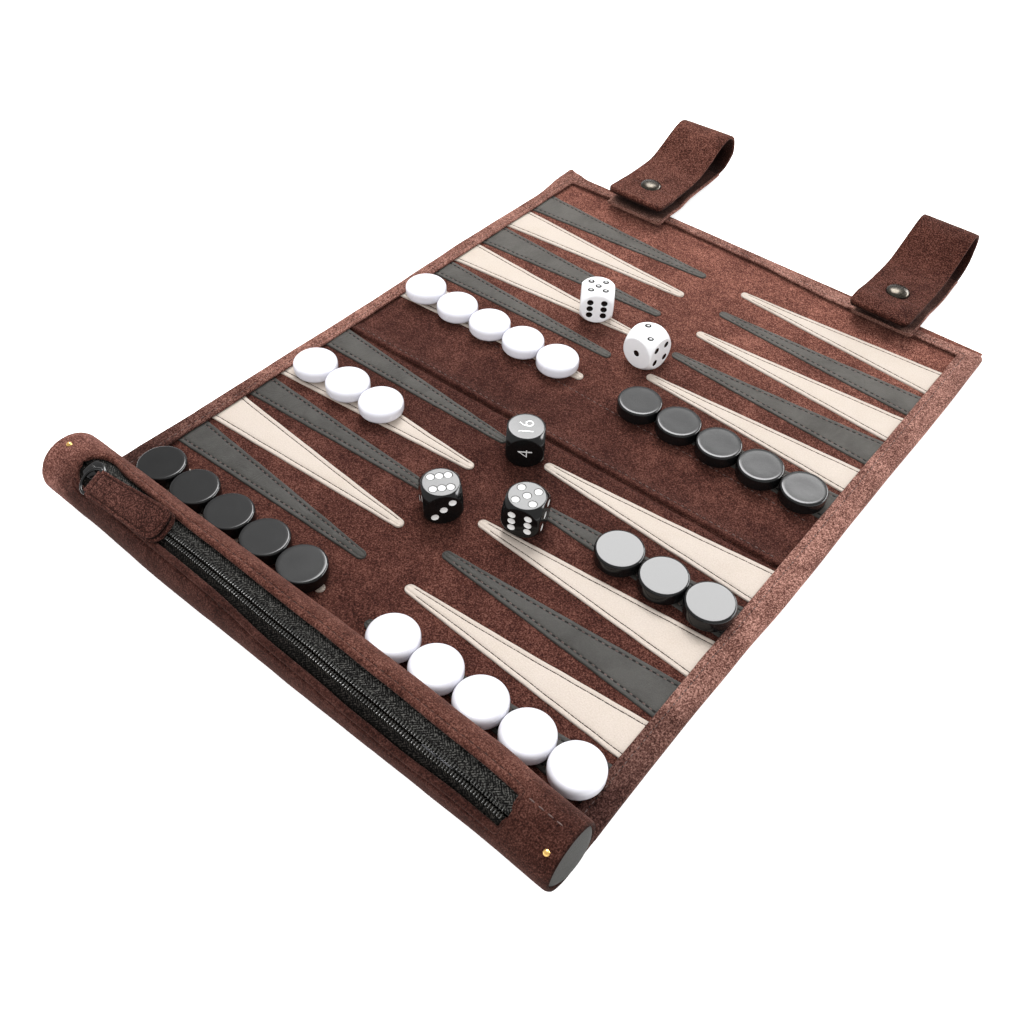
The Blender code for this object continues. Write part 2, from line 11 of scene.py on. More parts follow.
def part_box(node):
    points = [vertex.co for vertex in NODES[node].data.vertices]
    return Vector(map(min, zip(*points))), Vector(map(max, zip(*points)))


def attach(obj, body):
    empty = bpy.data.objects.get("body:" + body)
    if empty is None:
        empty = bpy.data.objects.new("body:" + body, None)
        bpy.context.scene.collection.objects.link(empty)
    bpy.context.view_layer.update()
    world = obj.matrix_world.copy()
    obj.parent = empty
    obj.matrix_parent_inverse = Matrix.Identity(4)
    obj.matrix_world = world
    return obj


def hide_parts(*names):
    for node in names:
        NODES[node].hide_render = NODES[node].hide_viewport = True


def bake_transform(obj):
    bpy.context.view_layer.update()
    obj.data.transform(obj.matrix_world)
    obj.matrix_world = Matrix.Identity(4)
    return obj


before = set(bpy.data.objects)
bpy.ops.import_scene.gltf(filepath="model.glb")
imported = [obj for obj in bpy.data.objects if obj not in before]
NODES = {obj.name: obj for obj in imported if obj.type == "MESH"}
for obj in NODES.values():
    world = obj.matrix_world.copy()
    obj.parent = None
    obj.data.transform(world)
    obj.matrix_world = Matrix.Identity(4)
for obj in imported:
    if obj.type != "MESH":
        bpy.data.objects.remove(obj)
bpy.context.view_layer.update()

MM = 0.001


# ---------------------------------------------------------------- frame helpers (millimetres)

def box_mm(node):
    """A CAD node's box: its low and high corners."""
    low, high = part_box(node)
    return low / MM, high / MM


def middle_mm(node):
    low, high = box_mm(node)
    return (low + high) / 2


def smoothstep(low, high, value):
    t = min(1.0, max(0.0, (value - low) / (high - low)))
    return t * t * (3 - 2 * t)


def wobble(x, y, size, seed=0.0):
    """Smooth repeatable noise from -1 to 1, with features about `size` millimetres across."""
    return noise.noise(Vector((x / size, y / size, seed)))


def through(points, value):
    """A smooth curve through a few (position, value) pairs."""
    xs = [p[0] for p in points]
    ys = [p[1] for p in points]
    if value <= xs[0]:
        return ys[0]
    for k in range(len(xs) - 1):
        if value <= xs[k + 1]:
            return ys[k] + (ys[k + 1] - ys[k]) * smoothstep(xs[k], xs[k + 1], value)
    return ys[-1]


# ---------------------------------------------------------------- mesh helpers

def finish_piece(obj, material, body, nodes=()):
    """Gives a piece its material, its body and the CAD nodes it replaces."""
    obj.data.materials.append(material)
    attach(obj, body)
    if nodes:
        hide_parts(*nodes)
    return obj


def add_object(name, data):
    """A new object in the scene's own collection."""
    obj = bpy.data.objects.new(name, data)
    bpy.context.scene.collection.objects.link(obj)
    return obj


def weld(mesh, distance):
    """Joins the points closer than distance (metres) and turns the faces outwards."""
    bm = bmesh.new()
    bm.from_mesh(mesh)
    bmesh.ops.remove_doubles(bm, verts=bm.verts, dist=distance)
    bmesh.ops.recalc_face_normals(bm, faces=bm.faces)
    bm.to_mesh(mesh)
    bm.free()


def mesh_object(name, points, faces, sharp_deg=50):
    """A smooth-shaded mesh object from points in millimetres."""
    mesh = bpy.data.meshes.new(name)
    mesh.from_pydata([tuple(c * MM for c in p) for p in points], [], faces)
    mesh.validate()
    obj = add_object(name, mesh)
    weld(mesh, 1e-6)
    mesh.shade_smooth()
    mesh.set_sharp_from_angle(angle=math.radians(sharp_deg))
    return obj


def mesh_of_curve(curve):
    """The mesh that a curve or text makes, without its material slots."""
    holder = add_object("curve_holder", curve)
    mesh = bpy.data.meshes.new_from_object(holder.evaluated_get(bpy.context.evaluated_depsgraph_get()))
    bpy.data.objects.remove(holder)
    mesh.materials.clear()
    return mesh


def grid_faces(rows, columns, close_columns=False, start=0):
    """Four-sided faces over rows of points; closed columns join the last to the first."""
    faces = []
    for i in range(rows - 1):
        for j in range(columns if close_columns else columns - 1):
            near, far = start + i * columns, start + (i + 1) * columns
            following = (j + 1) % columns
            faces.append((near + j, near + following, far + following, far + j))
    return faces


def capped_rings(rows, columns):
    """Faces of a closed skin over rings of points, with a flat cap on each end."""
    last = (rows - 1) * columns
    return grid_faces(rows, columns, close_columns=True) \
        + [tuple(range(columns)), tuple(range(last, last + columns))]


def tube_loft(name, sections, **shading):
    """A closed skin over equal closed sections, with flat ends."""
    points = [p for section in sections for p in section]
    return mesh_object(name, points, capped_rings(len(sections), len(sections[0])), **shading)


def turned(name, profile, segments, centre, matrix=None, **shading):
    """A turned solid from (radius, height) pairs, first and last on the axis."""
    points = []
    place = (matrix or Matrix.Identity(4)).to_3x3()
    inner = profile[1:-1]
    for radius, height in inner:
        for k in range(segments):
            a = 2 * math.pi * k / segments
            points.append((radius * math.cos(a), radius * math.sin(a), height))
    faces = grid_faces(len(inner), segments, close_columns=True)
    for end, ring in ((profile[0], 0), (profile[-1], len(inner) - 1)):
        points.append((0, 0, end[1]))
        tip = len(points) - 1
        first = ring * segments
        faces += [(tip, first + k, first + (k + 1) % segments) for k in range(segments)]
    moved = [tuple(Vector(centre) + place @ Vector(p)) for p in points]
    return mesh_object(name, moved, faces, **shading)


def join_parts(name, parts):
    """Several (points, faces) shapes as one mesh object."""
    points, faces = [], []
    for part_points, part_faces in parts:
        base = len(points)
        points += part_points
        faces += [tuple(base + i for i in f) for f in part_faces]
    return mesh_object(name, points, faces)


# ---------------------------------------------------------------- materials

class Nodes:
    """A node material with a Principled shader and short ways to wire it."""

    def __init__(self, name):
        self.material = bpy.data.materials.new(name)
        self.material.use_nodes = True
        self.tree = self.material.node_tree
        self.tree.nodes.clear()
        self.output = self.add("OutputMaterial")
        self.shader = self.add("BsdfPrincipled")
        self.link(self.shader.outputs[0], self.output.inputs["Surface"])

    def add(self, kind):
        return self.tree.nodes.new("ShaderNode" + kind)

    def link(self, source, target):
        self.tree.links.new(source, target)

    def set(self, **values):
        for key, value in values.items():
            self.shader.inputs[key.replace("_", " ")].default_value = value

    def place(self, kind="Object"):
        return self.add("TexCoord").outputs[kind]

    def axes(self, source):
        """The X, Y and Z of a vector."""
        node = self.add("SeparateXYZ")
        self.link(source, node.inputs[0])
        return node.outputs

    def mapped(self, source, scale, rotation=(0, 0, 0)):
        node = self.add("Mapping")
        node.inputs["Scale"].default_value = scale
        node.inputs["Rotation"].default_value = rotation
        self.link(source, node.inputs["Vector"])
        return node.outputs[0]

    def noise(self, source, feature_mm, detail=3.0, rough=0.55, distortion=0.0):
        node = self.add("TexNoise")
        node.inputs["Scale"].default_value = 1.0 / (feature_mm * MM)
        node.inputs["Detail"].default_value = detail
        node.inputs["Roughness"].default_value = rough
        node.inputs["Distortion"].default_value = distortion
        self.link(source, node.inputs["Vector"])
        return node.outputs["Fac"]

    def voronoi(self, source, feature_mm):
        """How far a place is from the edge of its cell."""
        node = self.add("TexVoronoi")
        node.feature = "DISTANCE_TO_EDGE"
        node.inputs["Scale"].default_value = 1.0 / (feature_mm * MM)
        self.link(source, node.inputs["Vector"])
        return node.outputs["Distance"]

    def ramp(self, source, stops):
        node = self.add("ValToRGB")
        ramp = node.color_ramp
        while len(ramp.elements) < len(stops):
            ramp.elements.new(0.5)
        for element, (position, colour) in zip(ramp.elements, stops):
            element.position = position
            element.color = (*colour, 1)
        self.link(source, node.inputs[0])
        return node.outputs[0]

    def levels(self, source, low, high, out_low=0.0, out_high=1.0):
        node = self.add("MapRange")
        node.inputs["From Min"].default_value = low
        node.inputs["From Max"].default_value = high
        node.inputs["To Min"].default_value = out_low
        node.inputs["To Max"].default_value = out_high
        self.link(source, node.inputs["Value"])
        return node.outputs["Result"]

    def math(self, operation, first, second=None, third=None):
        node = self.add("Math")
        node.operation = operation
        for k, value in enumerate((first, second, third)):
            if value is None:
                continue
            if isinstance(value, (int, float)):
                node.inputs[k].default_value = value
            else:
                self.link(value, node.inputs[k])
        return node.outputs[0]

    def mix(self, factor, first, second, blend="MIX"):
        node = self.add("Mix")
        node.data_type = "RGBA"
        node.blend_type = blend
        node.clamp_factor = True
        for socket, value in ((node.inputs["Factor"], factor), (node.inputs[6], first),
                              (node.inputs[7], second)):
            if isinstance(value, (int, float)):
                socket.default_value = value
            elif isinstance(value, tuple):
                socket.default_value = (*value, 1)
            else:
                self.link(value, socket)
        return node.outputs[2]

    def bump(self, height, distance_mm, strength=1.0, under=None):
        node = self.add("Bump")
        node.inputs["Strength"].default_value = strength
        node.inputs["Distance"].default_value = distance_mm * MM
        self.link(height, node.inputs["Height"])
        if under is not None:
            self.link(under, node.inputs["Normal"])
        return node.outputs[0]

    def colour(self, source):
        self.link(source, self.shader.inputs["Base Color"])

    def roughness(self, source):
        self.link(source, self.shader.inputs["Roughness"])

    def normal(self, source):
        self.link(source, self.shader.inputs["Normal"])


def suede(name, dark, body, pale, fleck, patchy=0.4, trends=(), grit=1.0, speckle=0.35,
          hollow=None):
    """Napped brown suede: soft patches where the nap lies differently, and a fine fibrous grain.

    Each trend (axis, low, high, first tint, last tint) tints it evenly along an axis, in metres; a tint
    of None keeps what the trends before it gave. A hollow (millimetres, dark at, clear at) paints shade:
    it darkens places that are shut in within that distance, by their open share.
    """
    n = Nodes(name)
    place = n.place()
    patches = n.noise(place, 24, detail=4, rough=0.6, distortion=0.6)
    clouds = n.noise(place, 5.5, detail=3, rough=0.65)
    mottle = n.noise(place, 1.5, detail=2, rough=0.6)
    grain = n.noise(place, 0.50, detail=1, rough=0.6)
    fibre = n.noise(n.mapped(place, (1.0, 0.5, 1.0), (0, 0, 0.5)), 0.36, detail=1, rough=0.6)
    tone = n.math("MULTIPLY_ADD", patches, patchy, 0.5 - patchy / 2)
    for layer, weight in ((clouds, 0.40), (mottle, 0.38), (grain, 1.25 * grit), (fibre, 0.80 * grit)):
        tone = n.math("MULTIPLY_ADD", n.math("SUBTRACT", layer, 0.5), weight, tone)
    colour = n.ramp(tone, [(0.16, dark), (0.5, body), (0.86, pale)])
    flecks = n.levels(n.noise(place, 0.9, detail=1, rough=0.4), 0.745, 0.80)
    colour = n.mix(n.math("MULTIPLY", flecks, speckle), colour, fleck)
    if trends:
        along = n.axes(place)
        stray = n.math("MULTIPLY", n.math("SUBTRACT", patches, 0.5), 0.4)
        tint = (1.0, 1.0, 1.0)
        for axis, low, high, first, last in trends:
            share = n.math("ADD", n.levels(along[axis], low, high), stray)
            share = n.levels(share, 0.0, 1.0)
            tint = n.mix(share, first or tint, last or tint)
        colour = n.mix(1.0, colour, tint, "MULTIPLY")
    # Painted shade: places shut in by nearby surfaces are darkened towards near black by their ambient occlusion.
    if hollow:
        painted_shade_ao = n.add("AmbientOcclusion")
        painted_shade_ao.samples = 6
        painted_shade_ao.inputs["Distance"].default_value = hollow[0] * MM
        unshaded_share = n.levels(painted_shade_ao.outputs["AO"], hollow[1], hollow[2])
        colour = n.mix(unshaded_share, (0.004, 0.0015, 0.0012), colour)
    n.colour(colour)
    n.set(Roughness=0.95, Specular_IOR_Level=0.05, Sheen_Weight=0.07, Sheen_Roughness=0.45,
          Sheen_Tint=(0.85, 0.52, 0.44, 1))
    height = n.math("ADD", n.math("MULTIPLY", grain, 0.7), n.math("MULTIPLY", fibre, 0.5))
    n.normal(n.bump(height, 0.30, 0.9, n.bump(mottle, 0.35, 0.6, n.bump(clouds, 0.5, 0.4))))
    return n.material


def leather(name, base, deep, gloss, crease, shine, far_light_tint):
    """Smooth coated leather: a fine pebbled grain with soft creases, and a painted-light tint that changes towards
    the far side, away from the tube.
    """
    n = Nodes(name)
    place = n.place()
    patches = n.noise(place, 14, detail=4, rough=0.6, distortion=0.4)
    pores = n.voronoi(place, 0.75)
    fine = n.noise(place, 0.5, detail=2)
    folds = n.noise(n.mapped(place, (1.0, 0.45, 1.0), (0, 0, 0.9)), 5.0, detail=5, rough=0.65,
                    distortion=1.4)
    colour = n.ramp(patches, [(0.25, deep), (0.6, base)])
    speck = n.levels(fine, 0.3, 0.7, 0.90, 1.04)
    shade = n.add("CombineColor")
    for channel in range(3):
        n.link(speck, shade.inputs[channel])
    tint = n.mix(n.levels(n.axes(place)["Y"], -0.11, 0.11), (1.0, 1.0, 1.0), far_light_tint)
    n.colour(n.mix(1.0, n.mix(1.0, colour, shade.outputs[0], "MULTIPLY"), tint, "MULTIPLY"))
    n.roughness(n.levels(patches, 0.2, 0.8, gloss - 0.06, gloss + 0.08))
    n.set(Specular_IOR_Level=shine)
    grain = n.bump(n.levels(pores, 0.0, 0.35), 0.06, 0.5)
    n.normal(n.bump(folds, crease, 0.8, grain))
    return n.material


def thread(name, dark, pale):
    """Twisted sewing thread."""
    n = Nodes(name)
    place = n.place()
    twist = n.noise(n.mapped(place, (1.0, 1.0, 1.0), (0, 0, 0.7)), 0.4, detail=2)
    patches = n.noise(place, 9, detail=2)
    n.colour(n.ramp(n.math("MULTIPLY_ADD", patches, 0.5, n.math("MULTIPLY", twist, 0.5)),
                    [(0.3, dark), (0.7, pale)]))
    n.normal(n.bump(twist, 0.1, 0.6))
    n.set(Roughness=0.8, Specular_IOR_Level=0.2)
    return n.material


def moulded(name, base, tint, roughness, scratch, shine=0.5):
    """Moulded plastic with a faint flow pattern and slight cloudy dulling."""
    n = Nodes(name)
    place = n.place()
    cloud = n.noise(place, 8, detail=3)
    fine = n.noise(place, 1.6, detail=2, rough=0.5)
    n.colour(n.ramp(cloud, [(0.3, tint), (0.7, base)]))
    n.roughness(n.levels(cloud, 0.3, 0.75, roughness, roughness + scratch))
    n.normal(n.bump(fine, 0.006, 0.4, n.bump(cloud, 0.03, 0.2)))
    n.set(Specular_IOR_Level=shine)
    return n


def metal(name, base, dark, roughness):
    """Plated metal with fine brushed marks and dulled patches."""
    n = Nodes(name)
    place = n.place()
    marks = n.noise(n.mapped(place, (1.0, 0.2, 1.0)), 0.6, detail=3)
    dull = n.noise(place, 2.2, detail=3)
    n.colour(n.ramp(dull, [(0.35, dark), (0.65, base)]))
    n.roughness(n.levels(marks, 0.25, 0.8, roughness, roughness + 0.15))
    n.normal(n.bump(marks, 0.02, 0.5))
    n.set(Metallic=1.0)
    return n.material


def tape_weave(name):
    """Black herringbone zip tape: U runs along it and V across, in millimetres; V over 15, the near tape, is
    darkened as painted shade.
    """
    n = Nodes(name)
    along, across, _ = n.axes(n.place("UV"))
    rib = n.math("PINGPONG", across, 1.9)
    slant = n.math("ADD", along, n.math("MULTIPLY", rib, 1.15))
    yarn = n.math("SINE", n.math("MULTIPLY", slant, 2 * math.pi / 1.03))
    yarn = n.math("MULTIPLY_ADD", yarn, 0.5, 0.5)
    fuzz = n.noise(n.place(), 0.42, detail=2, rough=0.7)
    grit = n.noise(n.place(), 0.75, detail=1, rough=0.5)
    tone = n.math("ADD", n.math("MULTIPLY", yarn, 0.15),
                  n.math("ADD", n.math("MULTIPLY", fuzz, 0.75), n.math("MULTIPLY", grit, 0.45)))
    colour = n.ramp(tone, [(0.50, (0.0005, 0.0005, 0.0005)), (0.68, (0.0055, 0.0054, 0.0050)),
                           (0.86, (0.090, 0.088, 0.081))])
    # Painted shade: the near tape, turned away from the light, is darkened.
    near_shade = n.levels(across, 14, 15)
    n.colour(n.mix(1.0, colour, n.mix(near_shade, (1.0, 1.0, 1.0), (0.40, 0.36, 0.34)), "MULTIPLY"))
    n.normal(n.bump(tone, 0.30, 1.0))
    n.set(Roughness=0.8, Specular_IOR_Level=0.06, Sheen_Weight=0.01, Sheen_Roughness=0.5)
    return n.material


def dice_plastic(name, plastic, tint, paint, roughness, shine):
    """Moulded plastic whose recessed pips are filled with glossy paint, told by the pip attribute."""
    n = moulded(name, plastic, tint, roughness, 0.05, shine)
    pip = n.add("Attribute")
    pip.attribute_name = "pip"
    painted = n.levels(pip.outputs["Fac"], 0.485, 0.515)
    plain = n.shader.inputs["Base Color"].links[0].from_socket
    n.colour(n.mix(painted, plain, paint))
    rough = n.shader.inputs["Roughness"].links[0].from_socket
    n.roughness(n.mix(painted, rough, (0.09, 0.09, 0.09)))
    return n.material


BROWN_FLECK = (0.27, 0.13, 0.10)
# The field's second trend is painted light that brightens it steadily towards the far hem; the first darkens it from
# its near part towards the seam.
SUEDE_FIELD = suede("suede_field", (0.013, 0.0040, 0.0030), (0.052, 0.0170, 0.0125),
                    (0.145, 0.059, 0.044), BROWN_FLECK,
                    trends=[("Y", -0.095, -0.035, (1.0, 1.0, 1.0), (0.76, 0.74, 0.74)),
                            ("Y", -0.015, 0.125, None, (2.40, 2.55, 2.50))])
SUEDE_HEM = suede("suede_hem", (0.024, 0.0085, 0.0066), (0.090, 0.0385, 0.0310), (0.220, 0.112, 0.092),
                  (0.38, 0.22, 0.17), 0.7, [("X", -0.10, 0.10, (1.60, 1.62, 1.55), (2.05, 2.20, 2.15)),
                                            ("Y", -0.130, -0.060, (0.42, 0.40, 0.40), None)], 1.15)
# The tube's trends paint light and shade: painted shade darkens its near, lower side and painted light brightens its
# left end. It also darkens towards its right end and over its right end face.
SUEDE_TUBE = suede("suede_tube", (0.016, 0.0055, 0.0042), (0.062, 0.0235, 0.0175), (0.165, 0.078, 0.062),
                   (0.33, 0.17, 0.13), 0.6, [("Y", -0.160, -0.1485, (0.42, 0.36, 0.36), (1.12, 1.04, 1.00)),
                                             ("X", 0.085, 0.100, None, (0.55, 0.48, 0.46)),
                                             ("X", -0.106, -0.092, (1.95, 2.00, 2.05), None),
                                             ("X", 0.1083, 0.1089, None, (0.16, 0.14, 0.14))], 0.9)
# The strap's hollow is painted shade inside its loop. Its trend makes the left strap lighter than the right.
SUEDE_STRAP = suede("suede_strap", (0.012, 0.0034, 0.0024), (0.056, 0.0190, 0.0130), (0.165, 0.070, 0.052),
                    (0.42, 0.24, 0.19), 0.5, [("X", -0.07, 0.07, (1.20, 1.17, 1.17), (0.76, 0.68, 0.66))],
                    1.35, 0.55, (26, 0.55, 0.95))
# The base's first trend is painted light on its near end, out from under the flap; its second trend and its hollow
# are painted shade inside the loop.
SUEDE_BASE = suede("suede_strap_base", (0.030, 0.0120, 0.0090), (0.095, 0.0460, 0.0350),
                   (0.210, 0.120, 0.095), BROWN_FLECK, 0.5, [("Y", 0.128, 0.131, (2.6, 2.6, 2.6), (0.9, 0.85, 0.85)),
                                      ("Y", 0.150, 0.172, None, (0.42, 0.32, 0.30))],
                   hollow=(22, 0.26, 0.62))
# The tab's hollow is painted shade where its layers and the tube meet. Its trend lightens it towards the ring.
SUEDE_TAB = suede("suede_tab", (0.010, 0.0034, 0.0027), (0.034, 0.0120, 0.0093), (0.115, 0.048, 0.038),
                  BROWN_FLECK, 0.4, [("X", -0.085, -0.050, (1.35, 1.40, 1.40), (0.80, 0.76, 0.74))], 1.15,
                  hollow=(2, 0.50, 0.95))
LEATHER_CREAM = leather("leather_cream", (0.478, 0.415, 0.364), (0.450, 0.385, 0.330), 0.55, 0.10, 0.15,
                        (0.98, 0.98, 0.97))
# The grey leather's far tint is painted light: its far rows are brighter.
LEATHER_GREY = leather("leather_grey", (0.052, 0.0500, 0.0465), (0.031, 0.0297, 0.0272), 0.50, 0.50, 0.07,
                       (1.50, 1.46, 1.42))
LEATHER_DISC = leather("leather_disc", (0.042, 0.041, 0.038), (0.034, 0.033, 0.030), 0.6, 0.12, 0.10,
                       (1.0, 1.0, 1.0))
THREAD_BROWN = thread("thread_brown", (0.010, 0.0045, 0.0035), (0.038, 0.018, 0.014))
THREAD_ROSE = thread("thread_rose", (0.120, 0.064, 0.052), (0.290, 0.180, 0.150))
THREAD_DULL = thread("thread_dull_rose", (0.060, 0.036, 0.031), (0.150, 0.100, 0.090))
# Painted shade: the needle holes are dark ovals standing for the shade inside them.
HOLE_SHADE = thread("needle_hole_shade", (0.0015, 0.0012, 0.001), (0.004, 0.003, 0.0025))
WHITE_PLASTIC = moulded("plastic_white", (0.750, 0.750, 0.805), (0.725, 0.725, 0.785), 0.22,
                        0.08).material
BLACK_PLASTIC = moulded("plastic_black", (0.0055, 0.0055, 0.0055), (0.0035, 0.0035, 0.0037), 0.085, 0.03,
                        0.3).material
BLACK_GLOSS = moulded("gloss_black", (0.0025, 0.0025, 0.0025), (0.0015, 0.0015, 0.0015), 0.09, 0.05,
                      0.28).material
NUMERAL_PAINT = moulded("numeral_paint", (0.80, 0.80, 0.79), (0.74, 0.74, 0.73), 0.35,
                        0.10).material
DICE_WHITE = dice_plastic("dice_white", (0.86, 0.86, 0.87), (0.82, 0.82, 0.84), (0.0035, 0.0035, 0.0035),
                          0.22, 0.5)
DICE_BLACK = dice_plastic("dice_black", (0.0055, 0.0055, 0.0055), (0.0038, 0.0038, 0.0038),
                          (0.80, 0.80, 0.79), 0.10, 0.27)
TAPE_BLACK = tape_weave("zip_tape_weave")
COIL_BLACK = moulded("zip_coil_nylon", (0.028, 0.027, 0.024), (0.016, 0.0155, 0.014), 0.20, 0.10,
                     0.65).material
NICKEL = metal("snap_nickel", (0.050, 0.044, 0.036), (0.032, 0.028, 0.023), 0.18)
BRASS = metal("nail_brass", (0.78, 0.50, 0.17), (0.42, 0.26, 0.08), 0.22)


# ---------------------------------------------------------------- mat outline (millimetres)

MAT_LOW, MAT_HIGH = box_mm("mat_backing")
PANEL_TOP = box_mm("field_panel_near")[1].z
HEM_TOP = MAT_HIGH.z
HEM_INNER_X = box_mm("points_cream_left")[0].x + 0.8
MAT_NEAR_Y = MAT_LOW.y
HEM_STEP = 1.6        # spacing of the points along the hem
HEM_STITCHES_AT = 0.71  # where the hem is sewn, from its outer fold (0) to its cut edge (1)
SEAM_Y = -23.3        # the lapped seam at the mat's middle
ROW_PITCH = 18.75


def left_edge(y):
    return through([(-141, -107.9), (-80, -107.3), (-15, -107.2), (55, -108.3), (110, -107.9), (133, -110.6),
                    (141, -110.9)], y) + 0.25 * wobble(3, y, 24)


def right_edge(y):
    return through([(-141, 109.0), (-106, 108.4), (-63, 108.8), (-32, 109.6), (24, 109.6), (90, 110.2),
                    (137, 110.0)], y) + 0.25 * wobble(90, y, 24)


def far_edge(x):
    return through([(-112, 141.8), (-105, 139.6), (-96, 137.4), (-88, 136.1), (-40, 136.6), (0, 137.3),
                    (17, 136.7), (33, 136.9), (60, 136.0), (86, 134.6), (110, 136.0)], x) + 0.2 * wobble(x, 7, 20)


def hem_inner_left(y):
    return -100.2 - 1.4 * smoothstep(-120, 140, y) + 0.18 * wobble(5, y, 13)


def hem_inner_right(y):
    return 99.8 + 0.7 * smoothstep(-60, 120, y) + 0.18 * wobble(50, y, 13)


def hem_inner_far(x):
    return through([(-102, 130.6), (-40, 132.3), (0, 131.4), (45, 128.6), (101, 129.4)], x) \
        + 0.18 * wobble(x, 40, 13)


def seam_y(x):
    return SEAM_Y + 0.014 * x + 0.15 * wobble(x, 3, 18)


def field_height(x, y):
    """Top of the field suede, which lies almost flat with faint undulations."""
    return PANEL_TOP + 0.16 * wobble(x, y, 34, 2.0) + 0.05 * wobble(x, y, 9, 4.0)


# ---------------------------------------------------------------- suede backing with its turned hems

def shares(length):
    """Even shares from 0 to 1 along a run of the hem."""
    count = int(length / HEM_STEP)
    return [i / count for i in range(count + 1)]


def between(first, last, share):
    return first + (last - first) * share


def round_corner(outer, inner, x, y, radius, start, creep):
    """Takes the hem round a corner about (x, y), its cut edge creeping on by a step each time."""
    for k in range(1, 6):
        a = start - k * math.pi / 12
        outer.append((x + radius * math.cos(a), y + radius * math.sin(a)))
        inner.append((inner[-1][0] + creep[0], inner[-1][1] + creep[1]))


def hem_path():
    """Matching points round the outer fold and along the hem's cut edge, near left to near right."""
    outer, inner = [], []
    corner_y = hem_inner_far(-101.6)
    for t in shares(corner_y - MAT_NEAR_Y):
        y_out = MAT_NEAR_Y + (far_edge(-112) - 3.0 - MAT_NEAR_Y) * t
        y_in = between(MAT_NEAR_Y, corner_y, t)
        outer.append((left_edge(y_out), y_out))
        inner.append((hem_inner_left(y_in), y_in))
    corner = Vector((left_edge(140) + 1.4, far_edge(-110) - 1.4))
    round_corner(outer, inner, corner.x, corner.y, 1.4, math.pi, (0.02, 0))
    start_out, end_out = left_edge(140) + 3.0, right_edge(134) - 3.0
    start_in, end_in = inner[-1][0] + 0.02, hem_inner_right(129)
    for t in shares(end_out - start_out):
        x_out, x_in = between(start_out, end_out, t), between(start_in, end_in, t)
        outer.append((x_out, far_edge(x_out)))
        inner.append((x_in, hem_inner_far(x_in)))
    corner = Vector((right_edge(134) - 2.2, far_edge(109) - 2.2))
    round_corner(outer, inner, corner.x, corner.y, 2.2, math.pi / 2, (0, -0.02))
    start_y, start_in_y = far_edge(109) - 3.0, inner[-1][1] - 0.02
    for t in shares(start_y - MAT_NEAR_Y):
        y_out, y_in = between(start_y, MAT_NEAR_Y, t), between(start_in_y, MAT_NEAR_Y, t)
        outer.append((right_edge(y_out), y_out))
        inner.append((hem_inner_right(y_in), y_in))
    return outer, inner


def make_backing():
    """One suede sheet whose three edges are folded over the field and stitched down."""
    outer, inner = hem_path()
    top = HEM_TOP
    profile = [(0.13, 0.0), (0.05, 0.2), (0.01, 0.9), (0.0, 1.9), (0.02, 2.8), (0.07, top - 0.28),
               (0.15, top + 0.02), (0.28, top + 0.12), (0.42, top + 0.08), (0.56, top + 0.1),
               (0.66, top + 0.02), (0.71, top - 0.10), (0.76, top + 0.02), (0.86, top + 0.05),
               (0.94, top + 0.0), (0.985, top - 0.12), (1.0, top - 0.32), (1.0, top - 0.8),
               (0.97, top - 0.95), (0.55, top - 1.0), (0.2, top - 1.15), (0.15, 1.7), (0.2, 0.8)]
    sections = []
    for (ox, oy), (ix, iy) in zip(outer, inner):
        section = []
        for u, z in profile:
            x, y = ox + (ix - ox) * u, oy + (iy - oy) * u
            if z > 2.5:
                z += 0.22 * wobble(ox, oy, 17, 3.0) + 0.10 * wobble(x, y, 4, 5.0)
            section.append((x, y, z))
        sections.append(section)
    columns = len(profile)
    points = [p for s in sections for p in s]
    faces = grid_faces(len(sections), columns)
    last = (len(sections) - 1) * columns
    faces.append(tuple(i * columns for i in range(len(sections))))
    faces.append(tuple(i * columns + columns - 1 for i in range(len(sections))))
    faces.append(tuple(range(columns)))
    faces.append(tuple(range(last, last + columns)))
    faces.append((0, columns - 1, last + columns - 1, last))
    obj = mesh_object("mat_suede", points, faces)
    finish_piece(obj, SUEDE_HEM, "board", ["mat_backing"])


